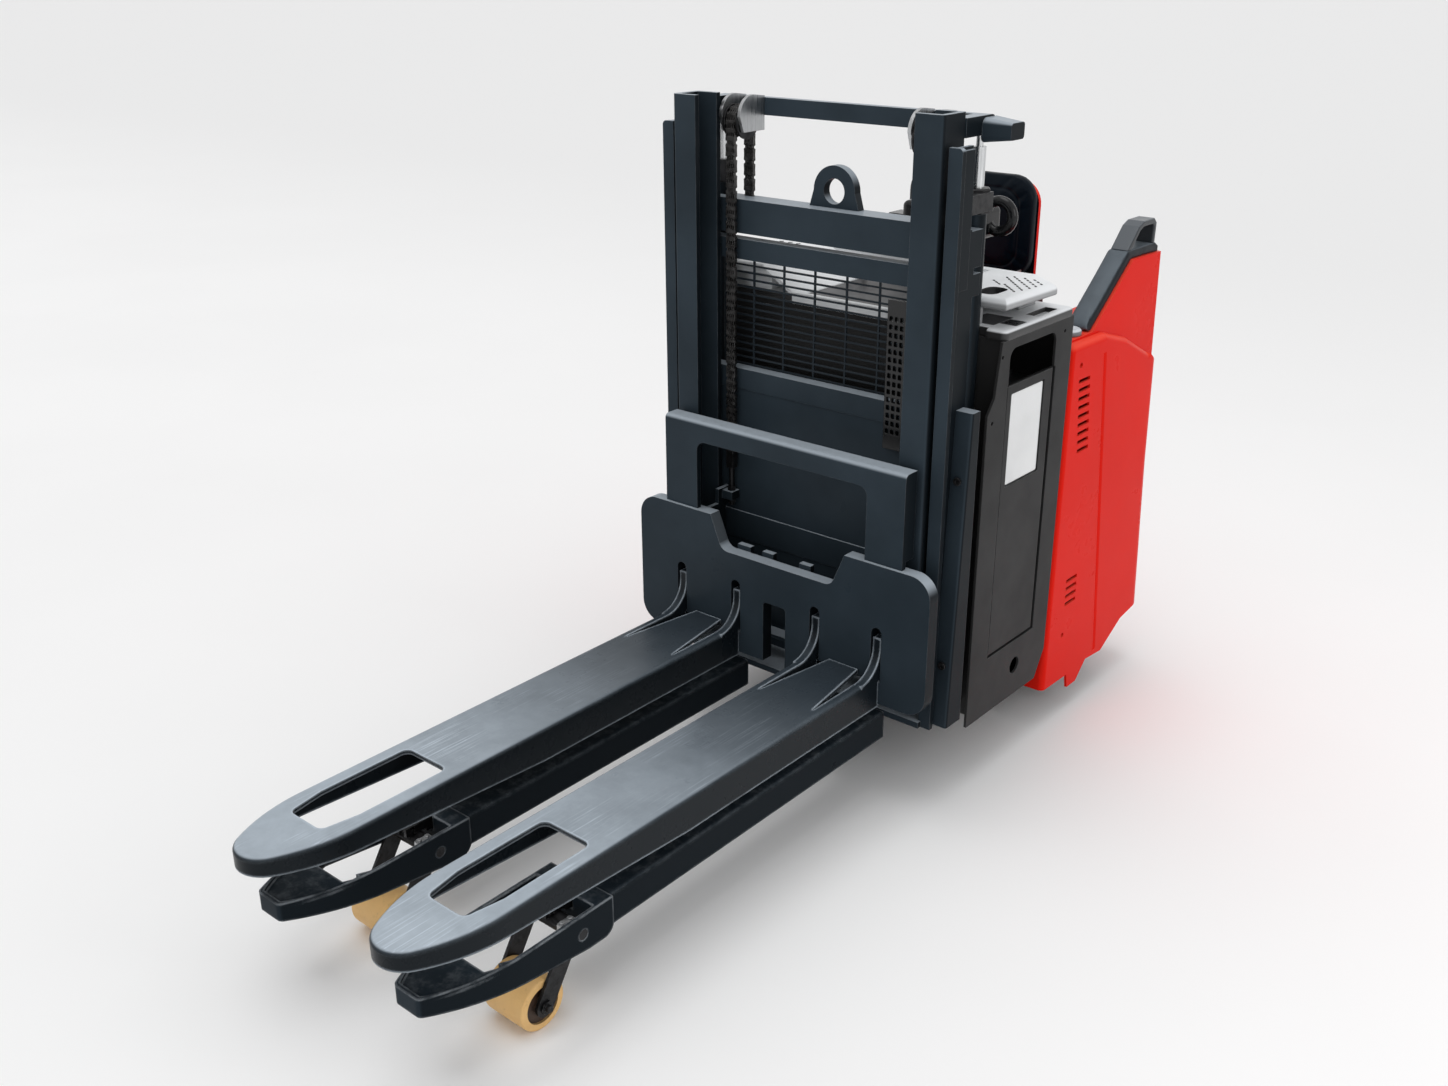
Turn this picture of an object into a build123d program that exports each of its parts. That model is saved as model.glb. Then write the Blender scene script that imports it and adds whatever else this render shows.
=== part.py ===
from build123d import *
import math
import os

# Stand-on pallet stacker with a two-stage mast and an initial lift of its support arms.
# All sizes are millimetres, in the pose where the arms stand raised on their wheels.
# Lengths called y run back from the front face of the carriage plate, and heights from the floor.

# Overall
TRUCK_WIDTH = 790.0
FORK_REACH = 1225.0
REAR_REACH = 1040.0
HALF = TRUCK_WIDTH / 2
FACE_Y = (FORK_REACH - REAR_REACH) / 2

# Lifts: how far the arms and the forks can still come down from this pose
INITIAL_DROP = 120.0
MAST_DROP = 47.0
FORK_DROP = 2 * MAST_DROP

# Forks
FORK_CENTRE = 190.0
FORK_WIDTH = 180.0
FORK_TOP = 320.0
FORK_DEPTH = 72.0
FORK_SKIN = 10.0
FORK_WALL = 10.0
FORK_TAPER = FORK_REACH - 185.0
FORK_SHOULDER = FORK_REACH - 29.0
FORK_TIP_HALF = 50.0
FORK_RIM = 9.0
HEEL_LENGTH = 205.0
HEEL_FLANGE = 20.0
HEEL_BEND = 64.0

# Carriage
PLATE_T = 30.0
PLATE_LOW = 255.0
PLATE_TOP = 570.0
PLATE_R = 48.0
SLOT_W = 26.0
SLOT_TOP = 430.0
NEST_TOP = 306.0
CHEEK_IN = 252.0
CHEEK_T = 10.0
ROLLER_Y = 100.0
ROLLER_R = 27.5
ROLLER_LOW = 350.0
ROLLER_HIGH = 500.0
ROLLER_PIN = 12.0
ROLLER_GAP = 0.5
RUN = 0.05

# Load backrest
REST_HALF = 320.0
REST_TOP = 775.0
REST_WINDOW_HALF = 228.0
REST_WINDOW_TOP = 729.0
REST_Y = 8.0
REST_T = 12.0
REST_FOLD = 40.0

# Support arms, their tips and the load wheels
ARM_HALF = 69.0
ARM_TOP = 203.0
ARM_LOW = 140.0
ARM_WALL = 8.0
ARM_END = 60.0
TIP_REAR = 790.0
TIP_HALF = 78.0
TIP_TOP = 207.0
TIP_LOW = 131.0
TIP_WALL = 7.0
TIP_TAPER = 985.0
TIP_REACH = 1182.0
TIP_NOSE_HALF = 30.0
TIP_SCOOP = 9.0
WHEEL_R = 50.0
WHEEL_HALF = 48.0
LEVER = 140.0
PIVOT_H = 168.0
PIVOT_R = 10.0
WHEEL_DROP = PIVOT_H - WHEEL_R
WHEEL_Y = -940.0
PIVOT_Y = WHEEL_Y + math.sqrt(LEVER ** 2 - WHEEL_DROP ** 2)
AXLE_R = 8.0
EYE_R = 17.0
LEVER_R = 20.0
EAR = 28.0
EAR_PIN = 5.0
SWING = math.asin(WHEEL_DROP / LEVER) + math.asin((INITIAL_DROP - WHEEL_DROP) / LEVER)

# Mast rails
INNER_IN = 268.0
INNER_OUT = 330.0
INNER_T = 12.0
INNER_FRONT = ROLLER_Y - ROLLER_R - ROLLER_GAP - INNER_T
INNER_REAR = ROLLER_Y + ROLLER_R + ROLLER_GAP + INNER_T
INNER_LOW = 256.0
INNER_TOP = 1454.0
OUTER_IN = 338.0
OUTER_OUT = 368.0
OUTER_T = 12.0
MAST_ROLLER_R = 22.5
MAST_ROLLER_Y = 105.0
MAST_ROLLER_H = 320.0
OUTER_FRONT = MAST_ROLLER_Y - MAST_ROLLER_R - ROLLER_GAP - OUTER_T
OUTER_REAR = MAST_ROLLER_Y + MAST_ROLLER_R + ROLLER_GAP + OUTER_T
OUTER_WEB = 348.0
OUTER_WEB_T = 8.0
OUTER_TOP = 1397.0
FOOT_LOW = 192.0
FOOT_TOP = 206.0
FOOT_HALF = 345.0
CROSS_FRONT = 150.0
CROSS_REAR = 180.0
CROSS_1 = (1165.0, 1237.0)
CROSS_2 = (1109.0, 1153.0)
CROSS_3 = (818.0, 865.0)
CROSS_4 = (455.0, 523.0)
CROSS_1_REAR = 208.0
CROSS_1_HALF = 285.0

# Crosshead, chains and pulleys
HEAD_LOW = 1406.0
HEAD_TOP = 1442.0
HEAD_FRONT = 212.0
HEAD_REAR = 245.0
CHAIN_X = 235.0
CHAIN_W = 26.0
CHAIN_T = 12.0
CHAIN_FRONT = 137.0
CHAIN_REAR = 198.0
PULLEY_Y = (CHAIN_FRONT + CHAIN_REAR) / 2
PULLEY_H = 1395.0
PULLEY_R = (CHAIN_REAR - CHAIN_FRONT) / 2
PULLEY_PIN = 10.0
ANCHOR_H = 672.0

# Lift cylinders
CYLINDER_X = 322.0
CYLINDER_Y = 205.0
TUBE_R = 22.0
ROD_R = 13.0
GLAND_LOW = 1260.0
GLAND_TOP = 1308.0
ROD_TOP = 1385.0

# Battery box and hood
BOX_FRONT = 236.0
BOX_REAR = 515.0
BOX_LOW = 160.0
BOX_TOP = 1012.0
SHEET = 6.0
HOOD_TOP = 1031.0
TRAY_LOW = 1066.0
TRAY_TOP = 1090.0
HINGE_Y = 522.0
HINGE_H = 1080.0
HINGE_PIN = 5.0

# Drive unit
UNIT_FRONT = 527.0
BASE_LOW = 95.0
BASE_TOP = 110.0
BULKHEAD = 560.0
SHELL_IN = 235.0
SHELL = 6.0
SHOULDER = 945.0
DRIVE_X = -245.0
DRIVE_Y = 690.0
DRIVE_R = 115.0
DRIVE_HALF = 38.0
CASTOR_X = 290.0
CASTOR_Y = 850.0
CASTOR_R = 60.0
CASTOR_TRAIL = 30.0
TOWER = ((-115.0, 232.0), (570.0, 700.0))
TOWER_TOP = 1040.0
STEER_Y = 645.0
PLATFORM_X = (-118.0, 230.0)
PLATFORM_Y = (712.0, 992.0)
PLATFORM_H = (186.0, 200.0)
GUIDE_IN = 262.0
GUIDE_GAP = 40.0
LIFT_Y = 537.0
LIFT_ROD = 9.0

os.makedirs("parts", exist_ok=True)


def plan_plane(h):
    """Level plane at height h: local x across, local y back from the carriage face."""
    return Plane(origin=(0, FACE_Y, h), x_dir=(1, 0, 0), z_dir=(0, 0, 1))


def side_plane(x):
    """Upright lengthwise plane at x: local x back from the carriage face, local y up."""
    return Plane(origin=(x, FACE_Y, 0), x_dir=(0, 1, 0), z_dir=(1, 0, 0))


def front_plane(y):
    """Upright cross plane at y, facing the forks: local x across, local y up."""
    return Plane(origin=(0, FACE_Y + y, 0), x_dir=(1, 0, 0), z_dir=(0, -1, 0))


def slab(x, y, z, mode=Mode.ADD):
    """Block between pairs of limits across, back from the carriage face and above the floor."""
    with Locations(((x[0] + x[1]) / 2, FACE_Y + (y[0] + y[1]) / 2, (z[0] + z[1]) / 2)):
        Box(abs(x[1] - x[0]), abs(y[1] - y[0]), abs(z[1] - z[0]), mode=mode)


def rod_x(x, y, h, radius, mode=Mode.ADD):
    """Round bar lying across the truck between two x limits."""
    with Locations(((x[0] + x[1]) / 2, FACE_Y + y, h)):
        Cylinder(radius, abs(x[1] - x[0]), rotation=(0, 90, 0), mode=mode)


def rod_y(x, y, h, radius, mode=Mode.ADD):
    """Round bar lying lengthwise between two y limits."""
    with Locations((x, FACE_Y + (y[0] + y[1]) / 2, h)):
        Cylinder(radius, abs(y[1] - y[0]), rotation=(90, 0, 0), mode=mode)


def rod_z(x, y, z, radius, mode=Mode.ADD):
    """Upright round bar between two heights."""
    with Locations((x, FACE_Y + y, (z[0] + z[1]) / 2)):
        Cylinder(radius, abs(z[1] - z[0]), mode=mode)


def outline(points, mode=Mode.ADD):
    """Straight-sided face through the points."""
    Polygon(*points, align=(Align.NONE, Align.NONE), mode=mode)


def keep(piece, name):
    """Label a finished piece and write it out."""
    piece.part.label = name
    export_step(piece.part, "parts/" + name + ".step")


def nose_point(centre, side, tip, begin, end):
    """Middle point of the arc that draws a side in from its full width at begin to tip at end."""
    length = end - begin
    drawn = abs(side) - abs(tip)
    radius = (length ** 2 + drawn ** 2) / (2 * drawn)
    half_way = radius - math.sqrt(radius ** 2 - (length / 2) ** 2)
    return (centre + math.copysign(abs(side) - half_way, side), -begin - length / 2)


# Forks: an inverted channel with a rounded nose, a wheel slot and two heel flanges that turn up
# into the slots of the carriage plate
def make_fork(side):
    centre = side * FORK_CENTRE
    half = FORK_WIDTH / 2
    low = FORK_TOP - FORK_DEPTH
    under = FORK_TOP - FORK_SKIN
    inner = half - HEEL_FLANGE
    with BuildPart() as fork:
        with BuildSketch(plan_plane(low)):
            with BuildLine():
                Line((centre - half, 0), (centre - half, -FORK_TAPER))
                ThreePointArc(
                    (centre - half, -FORK_TAPER),
                    nose_point(centre, -half, -FORK_TIP_HALF, FORK_TAPER, FORK_SHOULDER),
                    (centre - FORK_TIP_HALF, -FORK_SHOULDER),
                )
                ThreePointArc(
                    (centre - FORK_TIP_HALF, -FORK_SHOULDER),
                    (centre, -FORK_REACH),
                    (centre + FORK_TIP_HALF, -FORK_SHOULDER),
                )
                ThreePointArc(
                    (centre + FORK_TIP_HALF, -FORK_SHOULDER),
                    nose_point(centre, half, FORK_TIP_HALF, FORK_TAPER, FORK_SHOULDER),
                    (centre + half, -FORK_TAPER),
                )
                Polyline((centre + half, -FORK_TAPER), (centre + half, 0), (centre - half, 0))
            make_face()
        extrude(amount=FORK_DEPTH)
        rim = fork.edges().group_by(Axis.Z)[-1].sort_by(Axis.Y)[:-1]
        fillet(rim, radius=FORK_RIM)
        with BuildSketch(side_plane(centre - half - 5)):
            outline([(-600, low), (-FORK_REACH - 20, low + 37), (-FORK_REACH - 20, low - 5), (-600, low - 5)])
        extrude(amount=FORK_WIDTH + 10, mode=Mode.SUBTRACT)
        with BuildSketch(plan_plane(low - 1)):
            hollow = half - FORK_WALL
            hollow_tip = FORK_TIP_HALF - FORK_WALL
            hollow_end = FORK_SHOULDER - 6
            with BuildLine():
                Line((centre - hollow, -HEEL_LENGTH), (centre - hollow, -FORK_TAPER))
                ThreePointArc(
                    (centre - hollow, -FORK_TAPER),
                    nose_point(centre, -hollow, -hollow_tip, FORK_TAPER, hollow_end),
                    (centre - hollow_tip, -hollow_end),
                )
                Line((centre - hollow_tip, -hollow_end), (centre + hollow_tip, -hollow_end))
                ThreePointArc(
                    (centre + hollow_tip, -hollow_end),
                    nose_point(centre, hollow, hollow_tip, FORK_TAPER, hollow_end),
                    (centre + hollow, -FORK_TAPER),
                )
                Polyline(
                    (centre + hollow, -FORK_TAPER),
                    (centre + hollow, -HEEL_LENGTH),
                    (centre - hollow, -HEEL_LENGTH),
                )
            make_face()
        extrude(amount=FORK_DEPTH - FORK_SKIN + 1, mode=Mode.SUBTRACT)
        slab((centre - inner, centre + inner), (-HEEL_LENGTH - 1, 1), (low - 1, under), mode=Mode.SUBTRACT)
        with BuildSketch(plan_plane(under - 1)) as wheel_slot:
            outline([
                (centre - 58, -818),
                (centre - 58, -1015),
                (centre - 45, -1090),
                (centre + 45, -1090),
                (centre + 58, -1015),
                (centre + 58, -818),
            ])
            fillet(wheel_slot.vertices(), radius=16)
        extrude(amount=FORK_SKIN + 2, mode=Mode.SUBTRACT)
        with BuildSketch(plan_plane(under - 1)):
            for hand in (-1, 1):
                outline([
                    (centre + hand * inner, 1),
                    (centre + hand * 37.5, 1),
                    (centre + hand * (inner - 2), -HEEL_LENGTH + 5),
                    (centre + hand * inner, -HEEL_LENGTH),
                ])
        extrude(amount=FORK_SKIN + 2, mode=Mode.SUBTRACT)
        for hand in (-1, 1):
            flange_x = centre + hand * (half - HEEL_FLANGE / 2)
            bend = HEEL_BEND * math.sin(math.radians(45))
            with BuildSketch(side_plane(flange_x - HEEL_FLANGE / 2)):
                with BuildLine():
                    ThreePointArc(
                        (4 - HEEL_BEND, FORK_TOP),
                        (4 - HEEL_BEND + bend, FORK_TOP + HEEL_BEND - bend),
                        (4, FORK_TOP + HEEL_BEND),
                    )
                    Polyline(
                        (4, FORK_TOP + HEEL_BEND),
                        (4, SLOT_TOP - 25),
                        (PLATE_T - 4, SLOT_TOP - 25),
                        (PLATE_T - 4, NEST_TOP + 2),
                        (0, NEST_TOP + 2),
                        (0, under),
                        (4 - HEEL_BEND, under),
                        (4 - HEEL_BEND, FORK_TOP),
                    )
                make_face()
            extrude(amount=HEEL_FLANGE)
    return fork


keep(make_fork(-1), "fork_left")
keep(make_fork(1), "fork_right")

# Carriage: slotted plate with cheeks that carry the rollers and the chain lugs
with BuildPart() as carriage_plate:
    with BuildSketch(front_plane(0)) as face:
        with Locations((0, (PLATE_LOW + PLATE_TOP) / 2)):
            Rectangle(TRUCK_WIDTH, PLATE_TOP - PLATE_LOW)
        fillet(face.vertices(), radius=PLATE_R)
        with Locations((0, (PLATE_LOW - 40 + 400) / 2)):
            RectangleRounded(62, 400 - PLATE_LOW + 40, 8, mode=Mode.SUBTRACT)
        for side in (-1, 1):
            with Locations((side * FORK_CENTRE, (PLATE_LOW - 10 + NEST_TOP) / 2)):
                Rectangle(2 * ARM_HALF + 12, NEST_TOP - PLATE_LOW + 10, mode=Mode.SUBTRACT)
            for hand in (-1, 1):
                slot_x = side * FORK_CENTRE + hand * (FORK_WIDTH - HEEL_FLANGE) / 2
                with Locations((slot_x, (NEST_TOP + SLOT_TOP - SLOT_W / 2) / 2)):
                    Rectangle(SLOT_W, SLOT_TOP - SLOT_W / 2 - NEST_TOP, mode=Mode.SUBTRACT)
                with Locations((slot_x, SLOT_TOP - SLOT_W / 2)):
                    Circle(SLOT_W / 2, mode=Mode.SUBTRACT)
    extrude(amount=-PLATE_T)
    with BuildSketch(front_plane(-1)) as notch:
        outline([(-186, PLATE_TOP + 8), (186, PLATE_TOP + 8), (150, 492), (-150, 492)])
        fillet(notch.vertices().group_by(Axis.Y)[0], radius=25)
    extrude(amount=-PLATE_T - 2, mode=Mode.SUBTRACT)
    for side in (-1, 1):
        cheek = sorted((side * CHEEK_IN, side * (CHEEK_IN + CHEEK_T)))
        lug = sorted((side * (CHAIN_X - 13), side * CHEEK_IN))
        shoulder = sorted((side * (CHEEK_IN + CHEEK_T), side * (INNER_IN + 3.5)))
        pin = sorted((side * (CHEEK_IN + CHEEK_T), side * (INNER_IN + 46)))
        slab(cheek, (PLATE_T, 135), (318, 545))
        slab(cheek, (110, 149), (545, 580))
        slab(lug, (122, 149), (556, 576))
        rod_z(side * CHAIN_X, CHAIN_FRONT, (550, 580), 6.3, mode=Mode.SUBTRACT)
        for h in (ROLLER_LOW, ROLLER_HIGH):
            rod_x(shoulder, ROLLER_Y, h, 20)
            rod_x(pin, ROLLER_Y, h, ROLLER_PIN)
    for tab in ((-128, -92), (-58, -28), (44, 74)):
        slab(tab, (PLATE_T, PLATE_T + 14), (478, 504))
keep(carriage_plate, "carriage_plate")

for name, h in (("carriage_rollers_lower", ROLLER_LOW), ("carriage_rollers_upper", ROLLER_HIGH)):
    with BuildPart() as rollers:
        rod_x((INNER_IN + 4, INNER_IN + 44), ROLLER_Y, h, ROLLER_R)
        rod_x((INNER_IN + 40, INNER_IN + 46), ROLLER_Y, h, 18, mode=Mode.SUBTRACT)
        rod_x((INNER_IN, INNER_IN + 50), ROLLER_Y, h, ROLLER_PIN + RUN, mode=Mode.SUBTRACT)
        mirror(about=Plane.YZ)
    keep(rollers, name)

with BuildPart() as chain_anchors:
    rod_z(CHAIN_X, CHAIN_FRONT, (540, 640), 6)
    with BuildSketch(Plane(origin=(CHAIN_X, FACE_Y + CHAIN_FRONT, 546))):
        RegularPolygon(10, 6)
    extrude(amount=10)
    with BuildSketch(Plane(origin=(CHAIN_X, FACE_Y + CHAIN_FRONT, 576))):
        RegularPolygon(10, 6)
    extrude(amount=10)
    slab((CHAIN_X - 10, CHAIN_X + 10), (CHAIN_FRONT - 8, CHAIN_FRONT + 8), (632, ANCHOR_H))
    mirror(about=Plane.YZ)
keep(chain_anchors, "chain_anchors")

# Load backrest: a bent sheet frame standing on the plate, its top folded back
with BuildPart() as load_backrest:
    with BuildSketch(front_plane(REST_Y)) as sheet:
        with Locations((0, (PLATE_TOP + REST_TOP) / 2)):
            Rectangle(2 * REST_HALF, REST_TOP - PLATE_TOP)
        with Locations((0, (PLATE_TOP - 60 + REST_WINDOW_TOP) / 2)):
            RectangleRounded(2 * REST_WINDOW_HALF, REST_WINDOW_TOP - PLATE_TOP + 60, 22, mode=Mode.SUBTRACT)
    extrude(amount=-REST_T)
    slab((-REST_HALF, REST_HALF), (REST_Y, REST_Y + REST_FOLD), (REST_TOP - REST_T, REST_TOP))
    front_edge = load_backrest.edges().filter_by(Axis.X).group_by(Axis.Z)[-1].sort_by(Axis.Y)[0]
    fillet(front_edge, radius=11)
    for side in (-1, 1):
        wing = sorted((side * (REST_HALF - 8), side * REST_HALF))
        slab(wing, (REST_Y + REST_T, REST_Y + REST_FOLD), (PLATE_TOP + 16, REST_TOP - REST_T))
keep(load_backrest, "load_backrest")

# Inner mast: two channels open to the middle, tied at the foot
with BuildPart() as inner_mast:
    slab((INNER_IN, INNER_OUT), (INNER_FRONT, INNER_REAR), (INNER_LOW, INNER_TOP))
    channel = (INNER_FRONT + INNER_T, INNER_REAR - INNER_T)
    slab((INNER_IN - 1, INNER_OUT - INNER_T), channel, (INNER_LOW - 1, INNER_TOP + 1), mode=Mode.SUBTRACT)
    corner = inner_mast.edges().filter_by(Axis.Z).group_by(Axis.X)[-1]
    fillet(corner, radius=8)
    rod_x((INNER_OUT - 2, OUTER_WEB - 1), MAST_ROLLER_Y, MAST_ROLLER_H, 9)
    mirror(about=Plane.YZ)
    slab((-INNER_IN, INNER_IN), (104, INNER_REAR - 2), (INNER_LOW, INNER_LOW + 8))
keep(inner_mast, "inner_mast")

with BuildPart() as mast_rollers:
    rod_x((OUTER_WEB - 15, OUTER_WEB - 1), MAST_ROLLER_Y, MAST_ROLLER_H, MAST_ROLLER_R)
    rod_x((OUTER_WEB - 16, OUTER_WEB), MAST_ROLLER_Y, MAST_ROLLER_H, 9 + RUN, mode=Mode.SUBTRACT)
    mirror(about=Plane.YZ)
keep(mast_rollers, "mast_rollers")

# Crosshead: carried on the rear of the rails, pushed up by the rods
with BuildPart() as crosshead:
    slab((-INNER_OUT, INNER_OUT), (HEAD_FRONT, HEAD_REAR), (HEAD_LOW, HEAD_TOP))
    for side in (-1, 1):
        arm = sorted((side * 300, side * INNER_OUT))
        slab(arm, (INNER_REAR, HEAD_REAR), (HEAD_LOW, HEAD_TOP))
    top_rear = crosshead.edges().filter_by(Axis.X).group_by(Axis.Z)[-1].sort_by(Axis.Y)[-1]
    fillet(top_rear, radius=14)
    for side in (-1, 1):
        with BuildSketch(side_plane(side * (INNER_OUT - 0.5))) as cap:
            with Locations((228, 1415)):
                RectangleRounded(64, 46, 14)
        extrude(amount=side * (HALF - 6 - INNER_OUT), taper=7)
keep(crosshead, "crosshead")

# Chain pulleys and the plates that hold them in front of the crosshead
with BuildPart() as pulley_brackets:
    for x in ((CHAIN_X - 29, CHAIN_X - 21), (CHAIN_X + 21, CHAIN_X + 29)):
        with BuildSketch(side_plane(x[0])) as plate:
            with BuildLine():
                Polyline((PULLEY_Y - 24, 1376), (HEAD_FRONT, 1376), (HEAD_FRONT, 1446), (PULLEY_Y + 12, 1450))
                ThreePointArc((PULLEY_Y + 12, 1450), (PULLEY_Y - 22, 1440), (PULLEY_Y - 36, 1408))
                Polyline((PULLEY_Y - 36, 1408), (PULLEY_Y - 24, 1376))
            make_face()
        extrude(amount=x[1] - x[0])
    rod_x((CHAIN_X - 29, CHAIN_X + 29), PULLEY_Y, PULLEY_H, PULLEY_PIN)
    mirror(about=Plane.YZ)
keep(pulley_brackets, "pulley_brackets")

with BuildPart() as chain_pulleys:
    rod_x((CHAIN_X - 20, CHAIN_X + 20), PULLEY_Y, PULLEY_H, PULLEY_R - CHAIN_T / 2 - 0.3)
    for x in ((CHAIN_X - 20, CHAIN_X - 15), (CHAIN_X + 15, CHAIN_X + 20)):
        rod_x(x, PULLEY_Y, PULLEY_H, PULLEY_R + 5)
    rod_x((CHAIN_X - 22, CHAIN_X + 22), PULLEY_Y, PULLEY_H, PULLEY_PIN + RUN, mode=Mode.SUBTRACT)
    mirror(about=Plane.YZ)
keep(chain_pulleys, "chain_pulleys")

# Leaf chains: the front run goes from the carriage up and over, the rear run down to the crossmember
with BuildPart() as chain_front:
    with BuildSketch(side_plane(CHAIN_X - CHAIN_W / 2)):
        with BuildLine():
            far = PULLEY_R + CHAIN_T / 2
            near = PULLEY_R - CHAIN_T / 2
            Polyline(
                (PULLEY_Y - near, PULLEY_H),
                (PULLEY_Y - near, ANCHOR_H),
                (PULLEY_Y - far, ANCHOR_H),
                (PULLEY_Y - far, PULLEY_H),
            )
            over = (PULLEY_Y, PULLEY_H + far)
            ThreePointArc((PULLEY_Y - far, PULLEY_H), over, (PULLEY_Y + far, PULLEY_H))
            Line((PULLEY_Y + far, PULLEY_H), (PULLEY_Y + near, PULLEY_H))
            under = (PULLEY_Y, PULLEY_H + near)
            ThreePointArc((PULLEY_Y + near, PULLEY_H), under, (PULLEY_Y - near, PULLEY_H))
        make_face()
    extrude(amount=CHAIN_W)
    mirror(about=Plane.YZ)
keep(chain_front, "chain_front")

with BuildPart() as chain_rear:
    chain_x = (CHAIN_X - CHAIN_W / 2, CHAIN_X + CHAIN_W / 2)
    slab(chain_x, (CHAIN_REAR - CHAIN_T / 2, CHAIN_REAR + CHAIN_T / 2), (CROSS_1[1], PULLEY_H))
    mirror(about=Plane.YZ)
keep(chain_rear, "chain_rear")

# Outer mast: channels open to the middle on a foot plate, with crossmembers and a rear panel
with BuildPart() as outer_mast:
    upright = (FOOT_TOP, OUTER_TOP)
    slab((OUTER_IN, OUTER_OUT), (OUTER_FRONT, OUTER_FRONT + OUTER_T), upright)
    slab((OUTER_WEB, OUTER_WEB + OUTER_WEB_T), (OUTER_FRONT, OUTER_REAR), upright)
    slab((OUTER_IN, OUTER_WEB + OUTER_WEB_T), (OUTER_REAR - OUTER_T, OUTER_REAR), upright)
    top_corner = outer_mast.edges().filter_by(Axis.Y).group_by(Axis.Z)[-1].sort_by(Axis.X)[-1]
    fillet(top_corner, radius=9)
    slab((OUTER_WEB + OUTER_WEB_T, OUTER_WEB + OUTER_WEB_T + 6), (86, 124), (1130, OUTER_TOP - 6))
    slab((344, OUTER_WEB + OUTER_WEB_T), (OUTER_REAR, CROSS_FRONT + 4), (FOOT_TOP, CROSS_1[1]))
    spare = (OUTER_IN - 1, OUTER_WEB + OUTER_WEB_T + 1)
    rear_wall = (OUTER_REAR - OUTER_T - 2, OUTER_REAR + 1)
    slab(spare, rear_wall, (CROSS_1[1] + 4, OUTER_TOP + 1), mode=Mode.SUBTRACT)
    mirror(about=Plane.YZ)
    wide = (-OUTER_WEB - OUTER_WEB_T, OUTER_WEB + OUTER_WEB_T)
    for rung in (CROSS_1, CROSS_2, CROSS_3):
        slab(wide, (CROSS_FRONT, CROSS_REAR), rung)
    slab((-CROSS_1_HALF, CROSS_1_HALF), (CROSS_REAR, CROSS_1_REAR), CROSS_1)
    slab(wide, (CROSS_FRONT + 3, CROSS_FRONT + 9), (FOOT_TOP, CROSS_3[0]))
    slab(wide, (CROSS_FRONT, CROSS_FRONT + 9), CROSS_4)
    slab((-FOOT_HALF, FOOT_HALF), (ARM_END, BOX_FRONT), (FOOT_LOW, FOOT_TOP))
    for side in (-1, 1):
        shoe = sorted((side * FOOT_HALF, side * (OUTER_WEB + OUTER_WEB_T)))
        slab(shoe, (OUTER_FRONT, OUTER_REAR), (FOOT_LOW, FOOT_TOP))
        toe = sorted((side * FOOT_HALF, side * OUTER_OUT))
        slab(toe, (OUTER_FRONT, OUTER_FRONT + OUTER_T), (FOOT_LOW, FOOT_TOP))
keep(outer_mast, "outer_mast")

# Lifting eye on the upper crossmember
EYE_Y = (184.0, 204.0)
EYE_H = 1271.0
EYE_HOLE = 26.0
with BuildPart() as lifting_eye:
    with BuildSketch(front_plane(EYE_Y[0])):
        with Locations((0, EYE_H)):
            Circle(52)
        outline([(-62, CROSS_1[1]), (62, CROSS_1[1]), (52, EYE_H), (-52, EYE_H)])
        with Locations((0, CROSS_1[1] - 50)):
            Rectangle(200, 100, mode=Mode.SUBTRACT)
        with Locations((0, EYE_H)):
            Circle(EYE_HOLE, mode=Mode.SUBTRACT)
    extrude(amount=-(EYE_Y[1] - EYE_Y[0]))
keep(lifting_eye, "lifting_eye")

# Wire guard behind the mast opening
GUARD_HALF = 292.0
GUARD_LOW = 850.0
GUARD_TOP = 1124.0
GUARD_WIRE = 4.0
GUARD_COLUMNS = 7
GUARD_ROWS = 17
with BuildPart() as mast_guard:
    with BuildSketch(front_plane(CROSS_REAR)):
        pitch_x = (2 * GUARD_HALF - GUARD_WIRE) / GUARD_COLUMNS
        pitch_h = (GUARD_TOP - GUARD_LOW - GUARD_WIRE) / GUARD_ROWS
        with Locations((0, (GUARD_LOW + GUARD_TOP) / 2)):
            Rectangle(2 * GUARD_HALF, GUARD_TOP - GUARD_LOW)
            with GridLocations(pitch_x, pitch_h, GUARD_COLUMNS, GUARD_ROWS):
                Rectangle(pitch_x - GUARD_WIRE, pitch_h - GUARD_WIRE, mode=Mode.SUBTRACT)
    extrude(amount=-GUARD_WIRE)
keep(mast_guard, "mast_guard")

# Perforated hose guide inside the right of the mast
HOSE_X = (172.0, 216.0)
HOSE_H = (766.0, 1080.0)
HOSE_ROWS = 15
HOSE_HOLE = (8.5, 10.5)
with BuildPart() as hose_guide:
    with BuildSketch(front_plane(CROSS_FRONT - 9)):
        row_pitch = (HOSE_H[1] - HOSE_H[0] - 60) / HOSE_ROWS
        with Locations(((HOSE_X[0] + HOSE_X[1]) / 2, (HOSE_H[0] + HOSE_H[1]) / 2)):
            Rectangle(HOSE_X[1] - HOSE_X[0], HOSE_H[1] - HOSE_H[0])
            with GridLocations(13, row_pitch, 3, HOSE_ROWS):
                RectangleRounded(*HOSE_HOLE, 2, mode=Mode.SUBTRACT)
    extrude(amount=-9)
keep(hose_guide, "hose_guide")

# Side covers outside the outer mast, deeper at the foot, and their screws
COVER_H = (195.0, 889.0)
COVER_FRONT = (92.0, 120.0)
COVER_REAR = 148.0
COVER_IN = OUTER_WEB + OUTER_WEB_T
SCREW_X = 374.0
SCREW_H = (338.0, 746.0)


def cover_y(h):
    """Front face of the leaning cover at a height."""
    return COVER_FRONT[0] + (COVER_FRONT[1] - COVER_FRONT[0]) * (h - COVER_H[0]) / (COVER_H[1] - COVER_H[0])


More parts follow.
